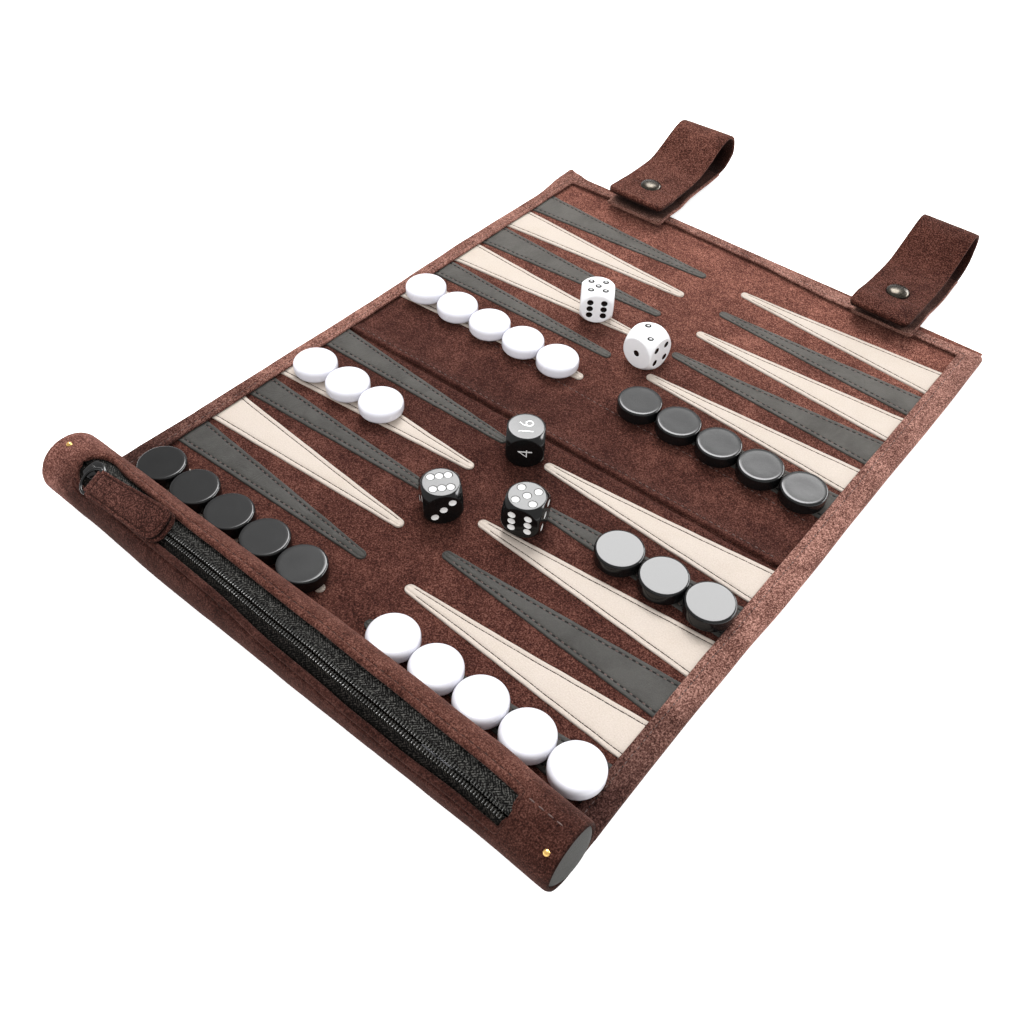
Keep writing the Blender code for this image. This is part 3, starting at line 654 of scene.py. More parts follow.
def make_field_panel(name, node, low_y, high_y, lap):
    """A field panel of suede. The far one laps over the near one with a folded, stitched edge."""
    low, high = box_mm(node)
    xs = np.linspace(low.x, high.x, 109)
    fold = [0, 0.10, 0.35, 0.8, 1.4, 1.9, 2.2, 2.6, 3.4, 4.5, 6.0]
    fold_rise = [-0.35, 0.62, 1.02, 1.14, 1.04, 0.84, 0.78, 0.82, 0.70, 0.35, 0.0]
    trench = [0, 0.3, 0.7, 1.2, 1.9, 3.0]
    if lap:
        steps = fold + list(np.arange(fold[-1] + 1.5, high_y - low_y, 1.9)) + [high_y - low_y]
    else:
        steps = list(np.arange(0, high_y - low_y - 4.0, 1.9))
        steps += [high_y - low_y - t for t in reversed(trench)]
    points = []
    for k, step in enumerate(steps):
        for x in xs:
            y = low_y + step
            z = field_height(x, y)
            if lap:
                y = seam_y(x) + step + (low_y - seam_y(x)) * smoothstep(6, 30, step)
                if k < len(fold) and abs(x) < 100.5:
                    z += fold_rise[k]
            else:
                y += (seam_y(x) - 0.15 - high_y) * smoothstep(high_y - 20, high_y, y)
                z -= 0.95 * smoothstep(1.7, 0.3, high_y - low_y - step)
            points.append((x, y, z))
    columns, rows = len(xs), len(steps)
    faces = grid_faces(rows, columns)
    rim = list(range(columns))
    rim += [i * columns + columns - 1 for i in range(1, rows)]
    rim += [(rows - 1) * columns + j for j in range(columns - 2, -1, -1)]
    rim += [i * columns for i in range(rows - 2, 0, -1)]
    base = len(points)
    for i in rim:
        points.append((*points[i][:2], low.z + 0.02))
    count = len(rim)
    faces += [(rim[i], rim[(i + 1) % count], base + (i + 1) % count, base + i) for i in range(count)]
    faces.append(tuple(base + i for i in range(count)))
    obj = mesh_object(name, points, faces)
    finish_piece(obj, SUEDE_FIELD, "board", [node])


# ---------------------------------------------------------------- stitches

def stitch_shape(start, end, up, width, rise):
    """One thread stitch: a low arched strand between two needle holes."""
    start, end, up = Vector(start), Vector(end), Vector(up)
    along = end - start
    side = along.normalized().cross(up)
    points, rings = [], 5
    for i in range(rings):
        t = i / (rings - 1)
        swell = math.sin(math.pi * (0.12 + 0.76 * t))
        centre = start + along * t + up * (rise * (swell - 0.35))
        for k in range(6):
            a = math.pi * 2 * k / 6
            spread = side * (math.cos(a) * width / 2 * swell) \
                + up * (math.sin(a) * width * 0.42 * swell)
            points.append(tuple(centre + spread))
    return points, capped_rings(rings, 6)


def hole_shape(centre, along, up, length, width):
    """A small dark oval where the needle went through, as painted shade in the hole."""
    along, up = Vector(along).normalized(), Vector(up)
    side = along.cross(up)
    points = [tuple(Vector(centre) + up * 0.15)]
    for k in range(10):
        a = 2 * math.pi * k / 10
        points.append(tuple(Vector(centre) + along * (math.cos(a) * length / 2)
                            + side * (math.sin(a) * width / 2) + up * 0.09))
    faces = [(0, k + 1, (k + 1) % 10 + 1) for k in range(10)]
    faces.append(tuple(range(10, 0, -1)))
    return points, faces


def sew(path, pitch, width, up=(0, 0, 1), fill=0.7, hole=None, rise=0.1):
    """Stitches and holes along a path of points in millimetres: (stitch parts, hole parts)."""
    line = [Vector(p) for p in path]
    lengths = [0.0]
    for a, b in zip(line, line[1:]):
        lengths.append(lengths[-1] + (b - a).length)
    count = max(1, int(lengths[-1] / pitch))

    def at(distance):
        for k in range(len(line) - 1):
            if distance <= lengths[k + 1]:
                span = max(1e-9, lengths[k + 1] - lengths[k])
                return line[k].lerp(line[k + 1], (distance - lengths[k]) / span)
        return line[-1].copy()

    strands, holes = [], []
    for i in range(count):
        jitter = 0.10 * pitch * wobble(i * 3.1, line[0].y + line[0].x, 2.0)
        a = at(i * pitch + pitch * (1 - fill) / 2 + jitter)
        b = at(i * pitch + pitch * (1 + fill) / 2 + jitter)
        facing = Vector(up(a)) if callable(up) else Vector(up)
        if (b - a).length < 0.3:
            continue
        strands.append(stitch_shape(a, b, facing, width, rise))
        if hole:
            centre = at(i * pitch + jitter)
            holes.append(hole_shape(centre, b - a, facing, hole[0], hole[1]))
    return strands, holes


# ---------------------------------------------------------------- the 24 leather points

POINT_TIP_X = 9.4
POINT_TIP_R = 2.0
STITCH_INSET = 1.7
EDGE_STEPS = [0.0, 0.10, 0.30, 0.7, 1.1, 1.42, 1.56, 1.7, 1.84, 2.05, 2.5, 3.2]
EDGE_RISE = [0.40, 0.54, 0.62, 0.66, 0.62, 0.52, 0.46, 0.44, 0.46, 0.54, 0.64, 0.68]
CREAM_WIDTH, GREY_WIDTH = 17.0, 14.6

# Where a point's base strays from the even row pitch: (row, side): (shift along Y, extra width).
# Worked out from the photo with a camera fit, then rounded.
BASE_STRAY = {
    (12, -1): (-1.5, 0.0), (11, -1): (0.6, -0.4), (10, -1): (-0.9, -0.4), (9, -1): (-3.0, -1.6),
    (8, -1): (-3.6, 0.0), (7, -1): (0.6, -0.9), (5, -1): (1.2, -2.0), (4, -1): (-1.4, 0.2),
    (3, -1): (-0.8, 2.4), (2, -1): (-0.9, 0.2), (1, -1): (-0.7, 2.2),
    (12, 1): (-0.6, 1.6), (11, 1): (-0.8, -0.6), (10, 1): (-1.8, 1.8), (9, 1): (-0.9, 0.8),
    (8, 1): (-1.0, 1.6), (7, 1): (0.0, 1.0), (6, 1): (1.2, 1.0), (5, 1): (-0.2, -1.2),
    (4, 1): (0.6, 2.0), (3, 1): (-0.6, 0.0), (2, 1): (-1.2, 0.0), (1, 1): (-1.2, 0.6),
}


def row_y(row):
    """Middle of a row of points; row 12 is nearest the tube."""
    if row > 6:
        return middle_mm("checker_black_01").y + 2.1 + (12 - row) * ROW_PITCH
    return middle_mm("checker_white_01").y + 2.2 + (6 - row) * ROW_PITCH


def point_colour(row, side):
    return "grey" if (row % 2 == 1) == (side < 0) else "cream"


def make_point(row, side):
    """A long leather triangle with a round tip, its edges sewn down by two lines of stitches."""
    colour = point_colour(row, side)
    shift, extra = BASE_STRAY.get((row, side), (0.0, 0.0))
    base_w = (CREAM_WIDTH if colour == "cream" else GREY_WIDTH) + extra
    base_y = row_y(row) + shift
    tip_y = row_y(row) + (-2.2 if row > 6 else -0.3)
    base_x = side * (abs(HEM_INNER_X) + 3.0)
    tip_x = side * (POINT_TIP_X + 0.5 * wobble(row, side, 0.7))
    length = abs(base_x - tip_x)
    reach = length - POINT_TIP_R

    def half_width(s):
        """Half the width at distance s from the base along the point."""
        straight = base_w / 2 + (POINT_TIP_R * 0.96 - base_w / 2) * min(1.0, s / reach)
        if s <= reach:
            return straight + 0.12 * wobble(s, row * 9 + side, 7)
        return math.sqrt(max(0.0004, (POINT_TIP_R * 0.96) ** 2 * (1 - ((s - reach) / POINT_TIP_R) ** 2)))

    def centre(s):
        bow = 0.5 * wobble(row * 5.0, side * 3.0, 1.7) * math.sin(math.pi * s / length)
        return base_x - side * s, base_y + (tip_y - base_y) * s / length + bow

    stations = list(np.arange(0, reach, 1.5)) + [reach + POINT_TIP_R * math.sin(a)
                                                for a in np.linspace(0.0, math.pi / 2 - 0.04, 7)]
    sections = []
    for s in stations:
        w = half_width(s)
        shrink = min(1.0, w / (EDGE_STEPS[-1] + 0.25))
        offsets = [-w + e * shrink for e in EDGE_STEPS] + [w - e * shrink for e in reversed(EDGE_STEPS)]
        rises = EDGE_RISE + EDGE_RISE[::-1]
        end_fall = smoothstep(length, length - 0.5, s)
        x, y = centre(s)
        section = [(x, y - w, field_height(x, y - w) - 0.25)]
        for offset, rise in zip(offsets, rises):
            z = field_height(x, y + offset)
            dome = 0.07 * (1 - (offset / max(w, 0.1)) ** 2) + 0.05 * wobble(x, y + offset, 8, 6.0)
            section.append((x, y + offset, z + rise * (0.65 + 0.35 * end_fall) + dome))
        section.append((x, y + w, field_height(x, y + w) - 0.25))
        sections.append(section)
    name = f"point_{colour}_{'left' if side < 0 else 'right'}_{row:02d}"
    obj = tube_loft(name, sections, sharp_deg=70)
    material = LEATHER_CREAM if colour == "cream" else LEATHER_GREY
    finish_piece(obj, material, "board", ())

    def seam(sign):
        path = []
        stop = reach + (0.2 if sign > 0 else -1.0)
        for s in np.arange(1.2, stop, 1.0):
            w = half_width(s)
            shrink = min(1.0, w / (EDGE_STEPS[-1] + 0.25))
            offset = sign * (w - STITCH_INSET * shrink)
            x, y = centre(s)
            path.append((x, y + offset, field_height(x, y + offset) + 0.46))
        return path

    strands, holes = [], []
    for sign in (-1, 1):
        if colour == "cream":
            more, dark = sew(seam(sign), 2.7, 0.40, fill=0.90, hole=(0.55, 0.40), rise=0.04)
        else:
            more, dark = sew(seam(sign), 2.5, 0.42, fill=0.46, hole=(1.45, 1.0), rise=0.14)
        strands += more
        holes += dark
    return obj, strands, holes


def make_points():
    """All 24 points, with the stitches of each colour gathered into one piece."""
    for colour, material in (("cream", THREAD_BROWN), ("grey", THREAD_DULL)):
        strands, holes, first = [], [], {}
        for side in (-1, 1):
            for row in range(1, 13):
                if point_colour(row, side) == colour:
                    obj, more, dark = make_point(row, side)
                    strands += more
                    holes += dark
                    first.setdefault(side, obj)
        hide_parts(f"points_{colour}_left")
        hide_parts(f"points_{colour}_right")
        finish_piece(join_parts(f"stitches_{colour}", strands), material, "board")
        finish_piece(join_parts(f"needle_holes_{colour}", holes), HOLE_SHADE, "board")


def make_field_stitches():
    """Sewing through the suede: along the lapped seam, across the bar and round the hems."""
    strands, holes = [], []
    lines = [[(x, seam_y(x) + 2.4, PANEL_TOP + 0.82) for x in range(-98, 99, 4)],
             [(x, 5.4 - 0.02 * x, field_height(x, 5.4) + 0.02) for x in range(-98, 99, 4)]]
    for path in lines:
        more, dark = sew(path, 3.0, 0.38, fill=0.45, hole=(0.7, 0.4), rise=0.08)
        strands += more
        holes += dark
    outer, inner = hem_path()
    hem = []
    for (ox, oy), (ix, iy) in zip(outer, inner):
        z = HEM_TOP - 0.10 + 0.22 * wobble(ox, oy, 17, 3.0)
        hem.append((between(ox, ix, HEM_STITCHES_AT), between(oy, iy, HEM_STITCHES_AT), z + 0.02))
    more, dark = sew(hem, 3.2, 0.36, fill=0.42, hole=(0.7, 0.4), rise=0.06)
    finish_piece(join_parts("stitches_suede", strands + more), THREAD_DULL, "board")
    finish_piece(join_parts("needle_holes_suede", holes + dark), HOLE_SHADE, "board")


# ---------------------------------------------------------------- zipped tube

TUBE_LOW, TUBE_HIGH = box_mm("tube_cover")
TUBE_ENDS = {-1: TUBE_LOW.x, 1: TUBE_HIGH.x - 1.5}
WALL = 1.0
TAPE_START, TAPE_RUN_ON = -96, 2.5
ZIP_START, ZIP_STOP = -89.0, 91.0
ZIP_HALF = 5.4
NOTCH_R = 6.6         # the window's round left end
DISC_R = 9.5
TAPE_R = 9.6


def tube_axis(x):
    """The tube's middle line, which bows a little: (y, z)."""
    y = through([(-111, -150.3), (-86, -150.5), (-45, -151.5), (35, -151.9), (74, -152.1),
                 (111, -153.3)], x)
    return y, tube_radius(x) + 0.05


def tube_radius(x):
    return through([(-111, 11.5), (-86, 11.55), (-45, 12.0), (30, 11.95), (70, 11.5), (94, 10.95),
                    (111, 10.85)], x) + 0.12 * wobble(x, 0, 22)


def zip_angle(x):
    """How far the zip has rolled off the top of the tube towards its near side."""
    return math.radians(through([(-90, 9.8), (-44, 15.0), (12, 19.6), (40, 23.6), (66, 26.6),
                                 (91, 30.0)], x))


def tube_point(x, r, angle):
    """A point at that radius, its angle measured from straight up towards the far side."""
    y, z = tube_axis(x)
    return x, y + r * math.sin(angle), z + r * math.cos(angle)


def zip_point(x, lateral, r):
    """A point over the zip: lateral is measured across it, towards the far side."""
    y, z = tube_axis(x)
    a = -zip_angle(x)
    out_y, out_z = math.sin(a), math.cos(a)
    return x, y + r * out_y + lateral * out_z, z + r * out_z - lateral * out_y


def window_half(x, side=1):
    """How far the zip window opens at x on one side: it ends round on the left, square on the right."""
    near = [(-48, 5.0), (-25, 5.2), (8, 6.7), (50, 6.9), (91, 5.3)]
    width = ZIP_HALF if side > 0 else through(near, x)
    if x < ZIP_START - NOTCH_R or x > ZIP_STOP + 0.6:
        return 0.0
    if x < ZIP_START:
        return math.sqrt(max(0.0, NOTCH_R ** 2 - (x - ZIP_START) ** 2))
    if x > ZIP_STOP - 0.9:
        return width * math.sqrt(max(0.0, 1 - ((x - ZIP_STOP + 0.9) / 1.5) ** 2))
    bulge = (NOTCH_R - width) * smoothstep(ZIP_START + 9, ZIP_START, x)
    return width + bulge + 0.15 * wobble(x, 60 + side, 15)


def tube_stations():
    """Places along the tube for its cross-sections, closer at the ends and round the window's ends."""
    rim = [0, 0.15, 0.5, 1.1, 2.0]
    notch = [ZIP_START - NOTCH_R * math.cos(a) for a in np.linspace(0, math.pi / 2, 13)]
    left = list(np.linspace(TUBE_ENDS[-1] + 3.0, notch[0] - 0.5, 8))
    middle = list(np.linspace(ZIP_START + 1.5, ZIP_STOP - 1.2, 110))
    corner = [ZIP_STOP - 0.9 + 1.5 * math.sin(a) for a in np.linspace(0, math.pi / 2, 9)]
    right = list(np.linspace(corner[-1] + 0.6, TUBE_ENDS[1] - 3.0, 9))
    return [TUBE_ENDS[-1] + s for s in rim] + left + notch + middle + corner + right \
        + [TUBE_ENDS[1] - s for s in reversed(rim)]


def suede_bump(x, angle):
    return 0.10 * wobble(x, angle * 11, 9, 8.0) + 0.05 * wobble(x, angle * 11, 2.5, 9.0)


def make_tube_cover():
    """Suede rolled round the tube, cut open along the zip, its long lips turned under and sewn."""
    around = 84
    lip = [(0.0, -1.25), (0.10, -0.55), (0.32, -0.08), (0.75, 0.22), (1.5, 0.30), (2.1, 0.06),
           (2.45, -0.34), (2.8, -0.04), (3.6, 0.06)]
    points, columns = [], None
    for x in tube_stations():
        r = tube_radius(x)
        end = max(0.0, 1 - min(x - TUBE_ENDS[-1], TUBE_ENDS[1] - x) / 1.6)
        r_here = r - 0.6 * end ** 2.4
        rings = {}
        for side in (1, -1):
            half = window_half(x, side)
            gap = math.asin(min(0.95, half / r))
            opened = smoothstep(0.0, 1.2, half)
            rings[side] = [(gap + e / r, rise * (opened if e < 2.4 else 0.5 + 0.5 * opened))
                           for e, rise in lip]
        first, last = rings[1][-1][0], 2 * math.pi - rings[-1][-1][0]
        body = [(first + (last - first) * k / around, 0.0) for k in range(1, around)]
        section = rings[1] + body + [(2 * math.pi - a, rise) for a, rise in reversed(rings[-1])]
        columns = len(section)
        for a, rise in section:
            angle = a - zip_angle(x)
            points.append(tube_point(x, r_here + rise + suede_bump(x, angle), angle))
    obj = mesh_object("tube_cover_suede", points, grid_faces(len(points) // columns, columns))
    shell = obj.modifiers.new("thickness", "SOLIDIFY")
    shell.thickness = WALL * MM
    shell.offset = -1.0
    obj.data.update()
    finish_piece(obj, SUEDE_TUBE, "board", ["tube_cover"])


def make_tube_tail():
    """The mat's near edge: suede that leaves the tube low down and runs under the field."""
    sections = []
    for x in np.linspace(-108.4, 108.6, 110):
        y, z = tube_axis(x)
        r = tube_radius(x)
        path = []
        for k in range(7):
            angle = math.radians(100 + 80 * k / 6)
            path.append((y + (r + 0.15) * math.sin(angle), z + (r + 0.15) * math.cos(angle)))
        top = [(MAT_NEAR_Y + 4.0, PANEL_TOP + 0.1), (MAT_NEAR_Y + 1.5, PANEL_TOP + 0.35),
               (path[1][0] + 0.35, z - 5.5), (path[0][0] + 0.15, z - 1.4)]
        lower = [(path[0][0] - 0.5, z - 1.6), (path[3][0], path[3][1]), (path[5][0], 0.35),
                 (y + 3, 0.06), (MAT_NEAR_Y + 4.0, 0.06)]
        sections.append([(x, py, pz + 0.05 * wobble(x, py, 6)) for py, pz in top + lower])
    obj = tube_loft("tube_tail_suede", sections, sharp_deg=80)
    finish_piece(obj, SUEDE_TUBE, "board", ())


def make_tapes():
    """Two woven tapes sewn under the window's lips, with the coil along their inner edges."""
    for name, side in (("zip_tape_far", 1), ("zip_tape_near", -1)):
        xs = np.linspace(TAPE_START, ZIP_STOP + TAPE_RUN_ON, 190)
        laterals = np.linspace(0.35, 8.8 + side * 1.2, 14)
        points, coords = [], []
        for x in xs:
            for v in laterals:
                r = TAPE_R - 0.12 * smoothstep(2.2, 3.4, v) + 0.06 * wobble(x, v * side, 5)
                points.append(tube_point(x, r, (side * v + coil_shift(x)) / TAPE_R - zip_angle(x)))
                coords.append((x, v if side > 0 else v + 20))
        mesh = bpy.data.meshes.new(name + "_woven")
        mesh.from_pydata([tuple(c * MM for c in p) for p in points], [],
                         grid_faces(len(xs), len(laterals)))
        layer = mesh.uv_layers.new(name="weave")
        for loop in mesh.loops:
            layer.data[loop.index].uv = coords[loop.vertex_index]
        mesh.shade_smooth()
        obj = add_object(name + "_woven", mesh)
        thick = obj.modifiers.new("thickness", "SOLIDIFY")
        thick.thickness = 0.45 * MM
        thick.offset = 0.0
        finish_piece(obj, TAPE_BLACK, "board", [name])


def coil_shift(x):
    """How far the coil lies off the window's middle line, towards the near side."""
    return through([(-90, -0.2), (-45, -0.7), (0, -0.8), (25, -1.1), (55, -1.25), (91, -1.2)], x)


def tooth_parts(x, side):
    """One turn of the nylon coil: a bent strand from the tape's sewing line to the middle."""
    path = [(1.75, 9.70), (1.70, 10.05), (1.45, 10.42), (1.0, 10.22), (0.5, 10.45), (0.10, 10.0)]
    width = [0.18, 0.23, 0.26, 0.19, 0.25, 0.20]
    points = []
    for (lateral, r), w in zip(path, width):
        for k in range(6):
            a = 2 * math.pi * k / 6
            points.append(zip_point(x + w * math.cos(a), side * lateral + coil_shift(x),
                                    r + w * 0.8 * math.sin(a)))
    return points, capped_rings(len(path), 6)


def make_coil():
    """The two rows of nylon turns, half a pitch apart."""
    pitch = 1.03
    count = int((ZIP_STOP - 0.6 - (ZIP_START - 1)) / pitch)
    parts = []
    for i in range(count):
        x = ZIP_START - 1 + i * pitch
        parts.append(tooth_parts(x, 1))
        parts.append(tooth_parts(x + pitch / 2, -1))
    finish_piece(join_parts("zip_coil_teeth", parts), COIL_BLACK, "board", ["zip_coil"])


def make_tube_stitches():
    """Dull rose thread past the window's right end, and brown thread sunk along its lips."""
    lifted = []
    for x in np.linspace(ZIP_STOP + 1.5, 106.5, 12):
        a = math.asin((ZIP_HALF + 0.6) / tube_radius(x)) - zip_angle(x)
        lifted.append(tube_point(x, tube_radius(x) + 0.12, a))

    def facing(p):
        y, z = tube_axis(p.x)
        return Vector((0, p.y - y, p.z - z)).normalized()

    strands, _ = sew(lifted, 3.1, 0.45, up=facing, fill=0.6, rise=0.12)
    sunk = []
    for side in (1, -1):
        line = []
        for x in np.linspace(ZIP_START + 2, ZIP_STOP - 1, 60):
            r = tube_radius(x)
            a = side * (math.asin(window_half(x) / r) + 2.5 / r) - zip_angle(x)
            line.append(tube_point(x, r - 0.22, a))
        more, _ = sew(line, 2.8, 0.28, up=facing, fill=0.6, rise=0.06)
        sunk += more
    finish_piece(join_parts("stitches_tube_end", strands), THREAD_DULL, "board")
    finish_piece(join_parts("stitches_tube_lips", sunk), THREAD_BROWN, "board")


def make_end_plugs():
    """Leather-covered discs set in the tube's ends; the right one sits a little askew in its rim."""
    for side, node, lean in ((-1, "end_plug_left", (0, 0)), (1, "end_plug_right", (-4, -7))):
        x = TUBE_ENDS[side] - side * 0.75
        y, z = tube_axis(x)
        r = DISC_R
        dome = [(0, 0.28), (r * 0.5, 0.24), (r * 0.8, 0.12), (r * 0.93, -0.05), (r * 0.99, -0.35),
                (r, -0.9), (r, -8.5), (0, -8.5)]
        askew = Matrix.Rotation(math.radians(lean[0]), 4, "Z") \
            @ Matrix.Rotation(math.radians(lean[1]), 4, "Y")
        turn = askew @ Matrix.Rotation(side * math.pi / 2, 4, "Y")
        obj = turned(node + "_disc", dome, 72, (x, y, z), turn)
        finish_piece(obj, LEATHER_DISC, "board", [node])


def make_nails():
    """Small domed brass nails that hold the suede to the end discs."""
    for node, x, degrees in (("brass_nail_left", -105.6, 3.0), ("brass_nail_right", 105.0, 38.0)):
        a = -math.radians(degrees)
        r = tube_radius(x) + 0.12
        centre = Vector(tube_point(x, r, a))
        out = (centre - Vector(tube_point(x, 0.0, a))).normalized()
        profile = [(0, 0.62), (0.30, 0.59), (0.62, 0.45), (0.88, 0.22), (1.0, 0.0), (0.95, -0.10),
                   (0.45, -0.15), (0.45, -2.2), (0, -2.4)]
        turn = out.to_track_quat("Z", "Y").to_matrix().to_4x4()
        finish_piece(turned(node + "_head", profile, 36, centre, turn), BRASS, "board", [node])


# ---------------------------------------------------------------- slider, ring and pull tab

SLIDER_X = -84.2
RING_BAR_R = 13.1
TAB_ROLL = 17.0


def ring_point(x, lateral, r, roll=TAB_ROLL):
    """A point in the rolled frame of ring and tab: from the ring's bar, across, out from the tube."""
    y, z = tube_axis(SLIDER_X)
    a = -zip_angle(SLIDER_X) - math.radians(roll)
    out_y, out_z = math.sin(a), math.cos(a)
    return Vector((SLIDER_X + x, y + r * out_y + lateral * out_z, z + r * out_z - lateral * out_y))


def wire(name, path, radius, material, body):
    """A round wire through points in millimetres, as a mesh."""
    curve = bpy.data.curves.new(name, "CURVE")
    curve.dimensions = "3D"
    curve.bevel_depth = radius * MM
    curve.bevel_resolution = 5
    curve.use_fill_caps = True
    spline = curve.splines.new("POLY")
    spline.points.add(len(path) - 1)
    for point, place in zip(spline.points, path):
        point.co = (*[c * MM for c in place], 1)
    mesh = mesh_of_curve(curve)
    mesh.name = name
    mesh.shade_smooth()
    return finish_piece(add_object(name, mesh), material, body)


def make_slider():
    """Black slider body with its lug, and the D ring that the tab hangs on."""
    sections = []
    for x, half, top in ((-9.6, 1.5, 10.6), (-9.2, 2.4, 10.9), (-8.2, 3.3, 11.1), (-6.0, 3.5, 11.2),
                         (-4.0, 3.2, 11.2), (-2.6, 2.5, 11.1), (-1.9, 1.9, 10.9), (-1.6, 1.2, 10.7)):
        ring = []
        for k in range(20):
            a = 2 * math.pi * k / 20
            c, s = math.cos(a), math.sin(a)
            flat = math.copysign(abs(s) ** 0.6, s)
            ring.append(tuple(ring_point(x, half * math.copysign(abs(c) ** 0.6, c),
                                         (top + 9.9) / 2 + (top - 9.9) / 2 * flat, 0.0)))
        sections.append(ring)
    body = tube_loft("zip_slider_body", sections)
    finish_piece(body, BLACK_GLOSS, "slider", ["zip_slider"])
    lug = [tuple(ring_point(-4.9 + 1.3 * math.cos(a), 0.3, 11.2 + 1.9 * math.sin(a), 1.0))
           for a in np.linspace(0, math.pi, 15)]
    wire("zip_slider_lug", lug, 0.42, BLACK_GLOSS, "slider")
    bow = [ring_point(-0.6 - 4.4 * math.cos(a), 4.7 * math.sin(a), RING_BAR_R - 0.25 * math.cos(a))
           for a in np.linspace(-math.pi / 2, math.pi / 2, 31)]
    path = [ring_point(0.0, -4.0, RING_BAR_R)] + bow
    path += [ring_point(0.0, 4.0, RING_BAR_R), ring_point(0.0, 0.0, RING_BAR_R), path[0]]
    wire("pull_ring", path, 0.52, BLACK_GLOSS, "slider")


def tab_outline(half, start, stop, corner, count=9):
    """Outline of the tab seen from above: square at the ring, rounded at its free end."""
    points = [(start, -half), (start, half)]
    for sign in (1, -1):
        fan = np.linspace(math.pi / 2, 0, count) if sign > 0 else np.linspace(0, -math.pi / 2, count)
        for a in fan:
            points.append((stop - corner + corner * math.cos(a),
                           sign * (half - corner) + corner * math.sin(a)))
    return points


def slab(name, outline, low, high, lift, shift=(0.0, 0.0)):
    """A thin padded slab over an outline in the slider's frame, with soft edges."""
    cx = sum(p[0] for p in outline) / len(outline)
    cy = sum(p[1] for p in outline) / len(outline)
    dense = []
    count = len(outline)
    for i in range(count):
        (ax, ay), (bx, by) = outline[i], outline[(i + 1) % count]
        pieces = max(1, int(math.hypot(bx - ax, by - ay) / 0.9))
        dense += [(ax + (bx - ax) * k / pieces, ay + (by - ay) * k / pieces) for k in range(pieces)]
    levels = [(0.55, low), (0.12, low + 0.05), (0.0, low + 0.3), (0.0, high - 0.35), (0.10, high - 0.12),
              (0.35, high), (0.9, high + 0.02), (1.2, high - 0.26), (1.5, high), (3.0, high + 0.08)]
    rings = []
    for inward, r in levels:
        ring = []
        for px, py in dense:
            away = Vector((px - cx, py - cy))
            reach_x = max(0.0, 1 - inward / max(0.1, abs(away.x))) if abs(away.x) > 0.1 else 1.0
            reach_y = max(0.0, 1 - inward / max(0.1, abs(away.y))) if abs(away.y) > 0.1 else 1.0
            x = cx + away.x * reach_x + shift[0]
            y = (cy + away.y * reach_y) * (0.90 + 0.14 * smoothstep(2, 30, x)) + shift[1] + 0.06 * x
            ring.append(tuple(ring_point(x, y, RING_BAR_R + r + lift(x) + 0.06 * wobble(x, y, 3.5, 7.0))))
        rings.append(ring)
    return tube_loft(name, rings, sharp_deg=75)


def make_tab():
    """The pull tab: a suede strip folded over the ring's bar and sewn to itself."""
    def sag(x):
        return 0.25 * math.sin(max(0.0, x) / 34 * math.pi)
    upper = slab("pull_tab_upper", tab_outline(5.5, 0.6, 33.6, 3.8), 0.05, 1.25, sag)
    lower = slab("pull_tab_lower", tab_outline(5.5, 0.6, 35.0, 3.8), -1.25, -0.02, sag, (0.0, -0.35))
    finish_piece(upper, SUEDE_TAB, "tab", ["pull_tab"])
    finish_piece(lower, SUEDE_TAB, "tab", ())
    sections = []
    for lateral in np.linspace(-3.9, 3.9, 9):
        ring = []
        for k in range(18):
            a = 2 * math.pi * k / 18
            ring.append(tuple(ring_point(0.25 + 1.5 * math.cos(a), lateral, RING_BAR_R + 1.25 * math.sin(a))))
        sections.append(ring)
    finish_piece(tube_loft("pull_tab_fold", sections), SUEDE_TAB, "tab", ())


# ---------------------------------------------------------------- snap straps

STRAP_T, STRAP_END_T = 1.6, 2.9
RIM_COLUMN = 14          # a strap section's points run across its top; this one is at its right edge
STITCH_COLUMNS = (3, 11)
STRAPS = {
    "left": {"low": 6.0, "tip": 12.0, "end": 125.6, "rim": 0.75, "lean": -0.6, "shift": 0.7,
             "width": (30.0, 27.2), "skew": (1.2, 0.8)},
    "right": {"low": 2.6, "tip": 10.6, "end": 121.9, "rim": 0.5, "lean": -1.6, "shift": 1.3,
              "width": (27.4, 25.8), "skew": (0.0, 0.2)},
}


def strap_line(side):
    """The strap's middle line seen from the side, (y, z), base end first: (base, bend, flap)."""
    low, tip, end = (STRAPS[side][key] for key in ("low", "tip", "end"))
    base = [(126.0, 4.5), (133.0, 4.8), (140.3, 4.8), (146.0, 4.8), (152.0, min(low + 0.9, 5.9)),
            (158.5, low + 0.2), (166.0, low), (173.3, low), (180.0, low + 0.5)]
    bend = [(180.0, low + 0.5), (186.0, low + 1.7), (190.3, low + 4.6), (192.4, max(11.2, low + 7.0)),
            (192.5, 15.5), (191.2, 20.0), (188.6, 22.9), (184.8, 23.8), (179.8, 22.7)]
    flap = [(179.8, 22.7), (174.8, 19.9), (170.0, 16.9), (165.0, 14.3), (159.0, 12.5), (152.0, 11.7),
            (146.0, 11.5), (140.3, 11.4), (134.3, 11.4), (129.0, 11.6), (end, tip)]
    return base, bend, flap


def spline_through(points):
    """Closely spaced points on a Catmull-Rom curve through (y, z) pairs."""
    ghosts = [tuple(2 * np.array(points[0]) - points[1])] + list(points) \
        + [tuple(2 * np.array(points[-1]) - points[-2])]
    dense = []
    for k in range(1, len(ghosts) - 2):
        p0, p1, p2, p3 = (np.array(p, float) for p in ghosts[k - 1:k + 3])
        for t in np.linspace(0, 1, 16, endpoint=False):
            dense.append(0.5 * (2 * p1 + (p2 - p0) * t + (2 * p0 - 5 * p1 + 4 * p2 - p3) * t * t
                                + (3 * p1 - p0 - 3 * p2 + p3) * t ** 3))
    dense.append(np.array(points[-1], float))
    return dense


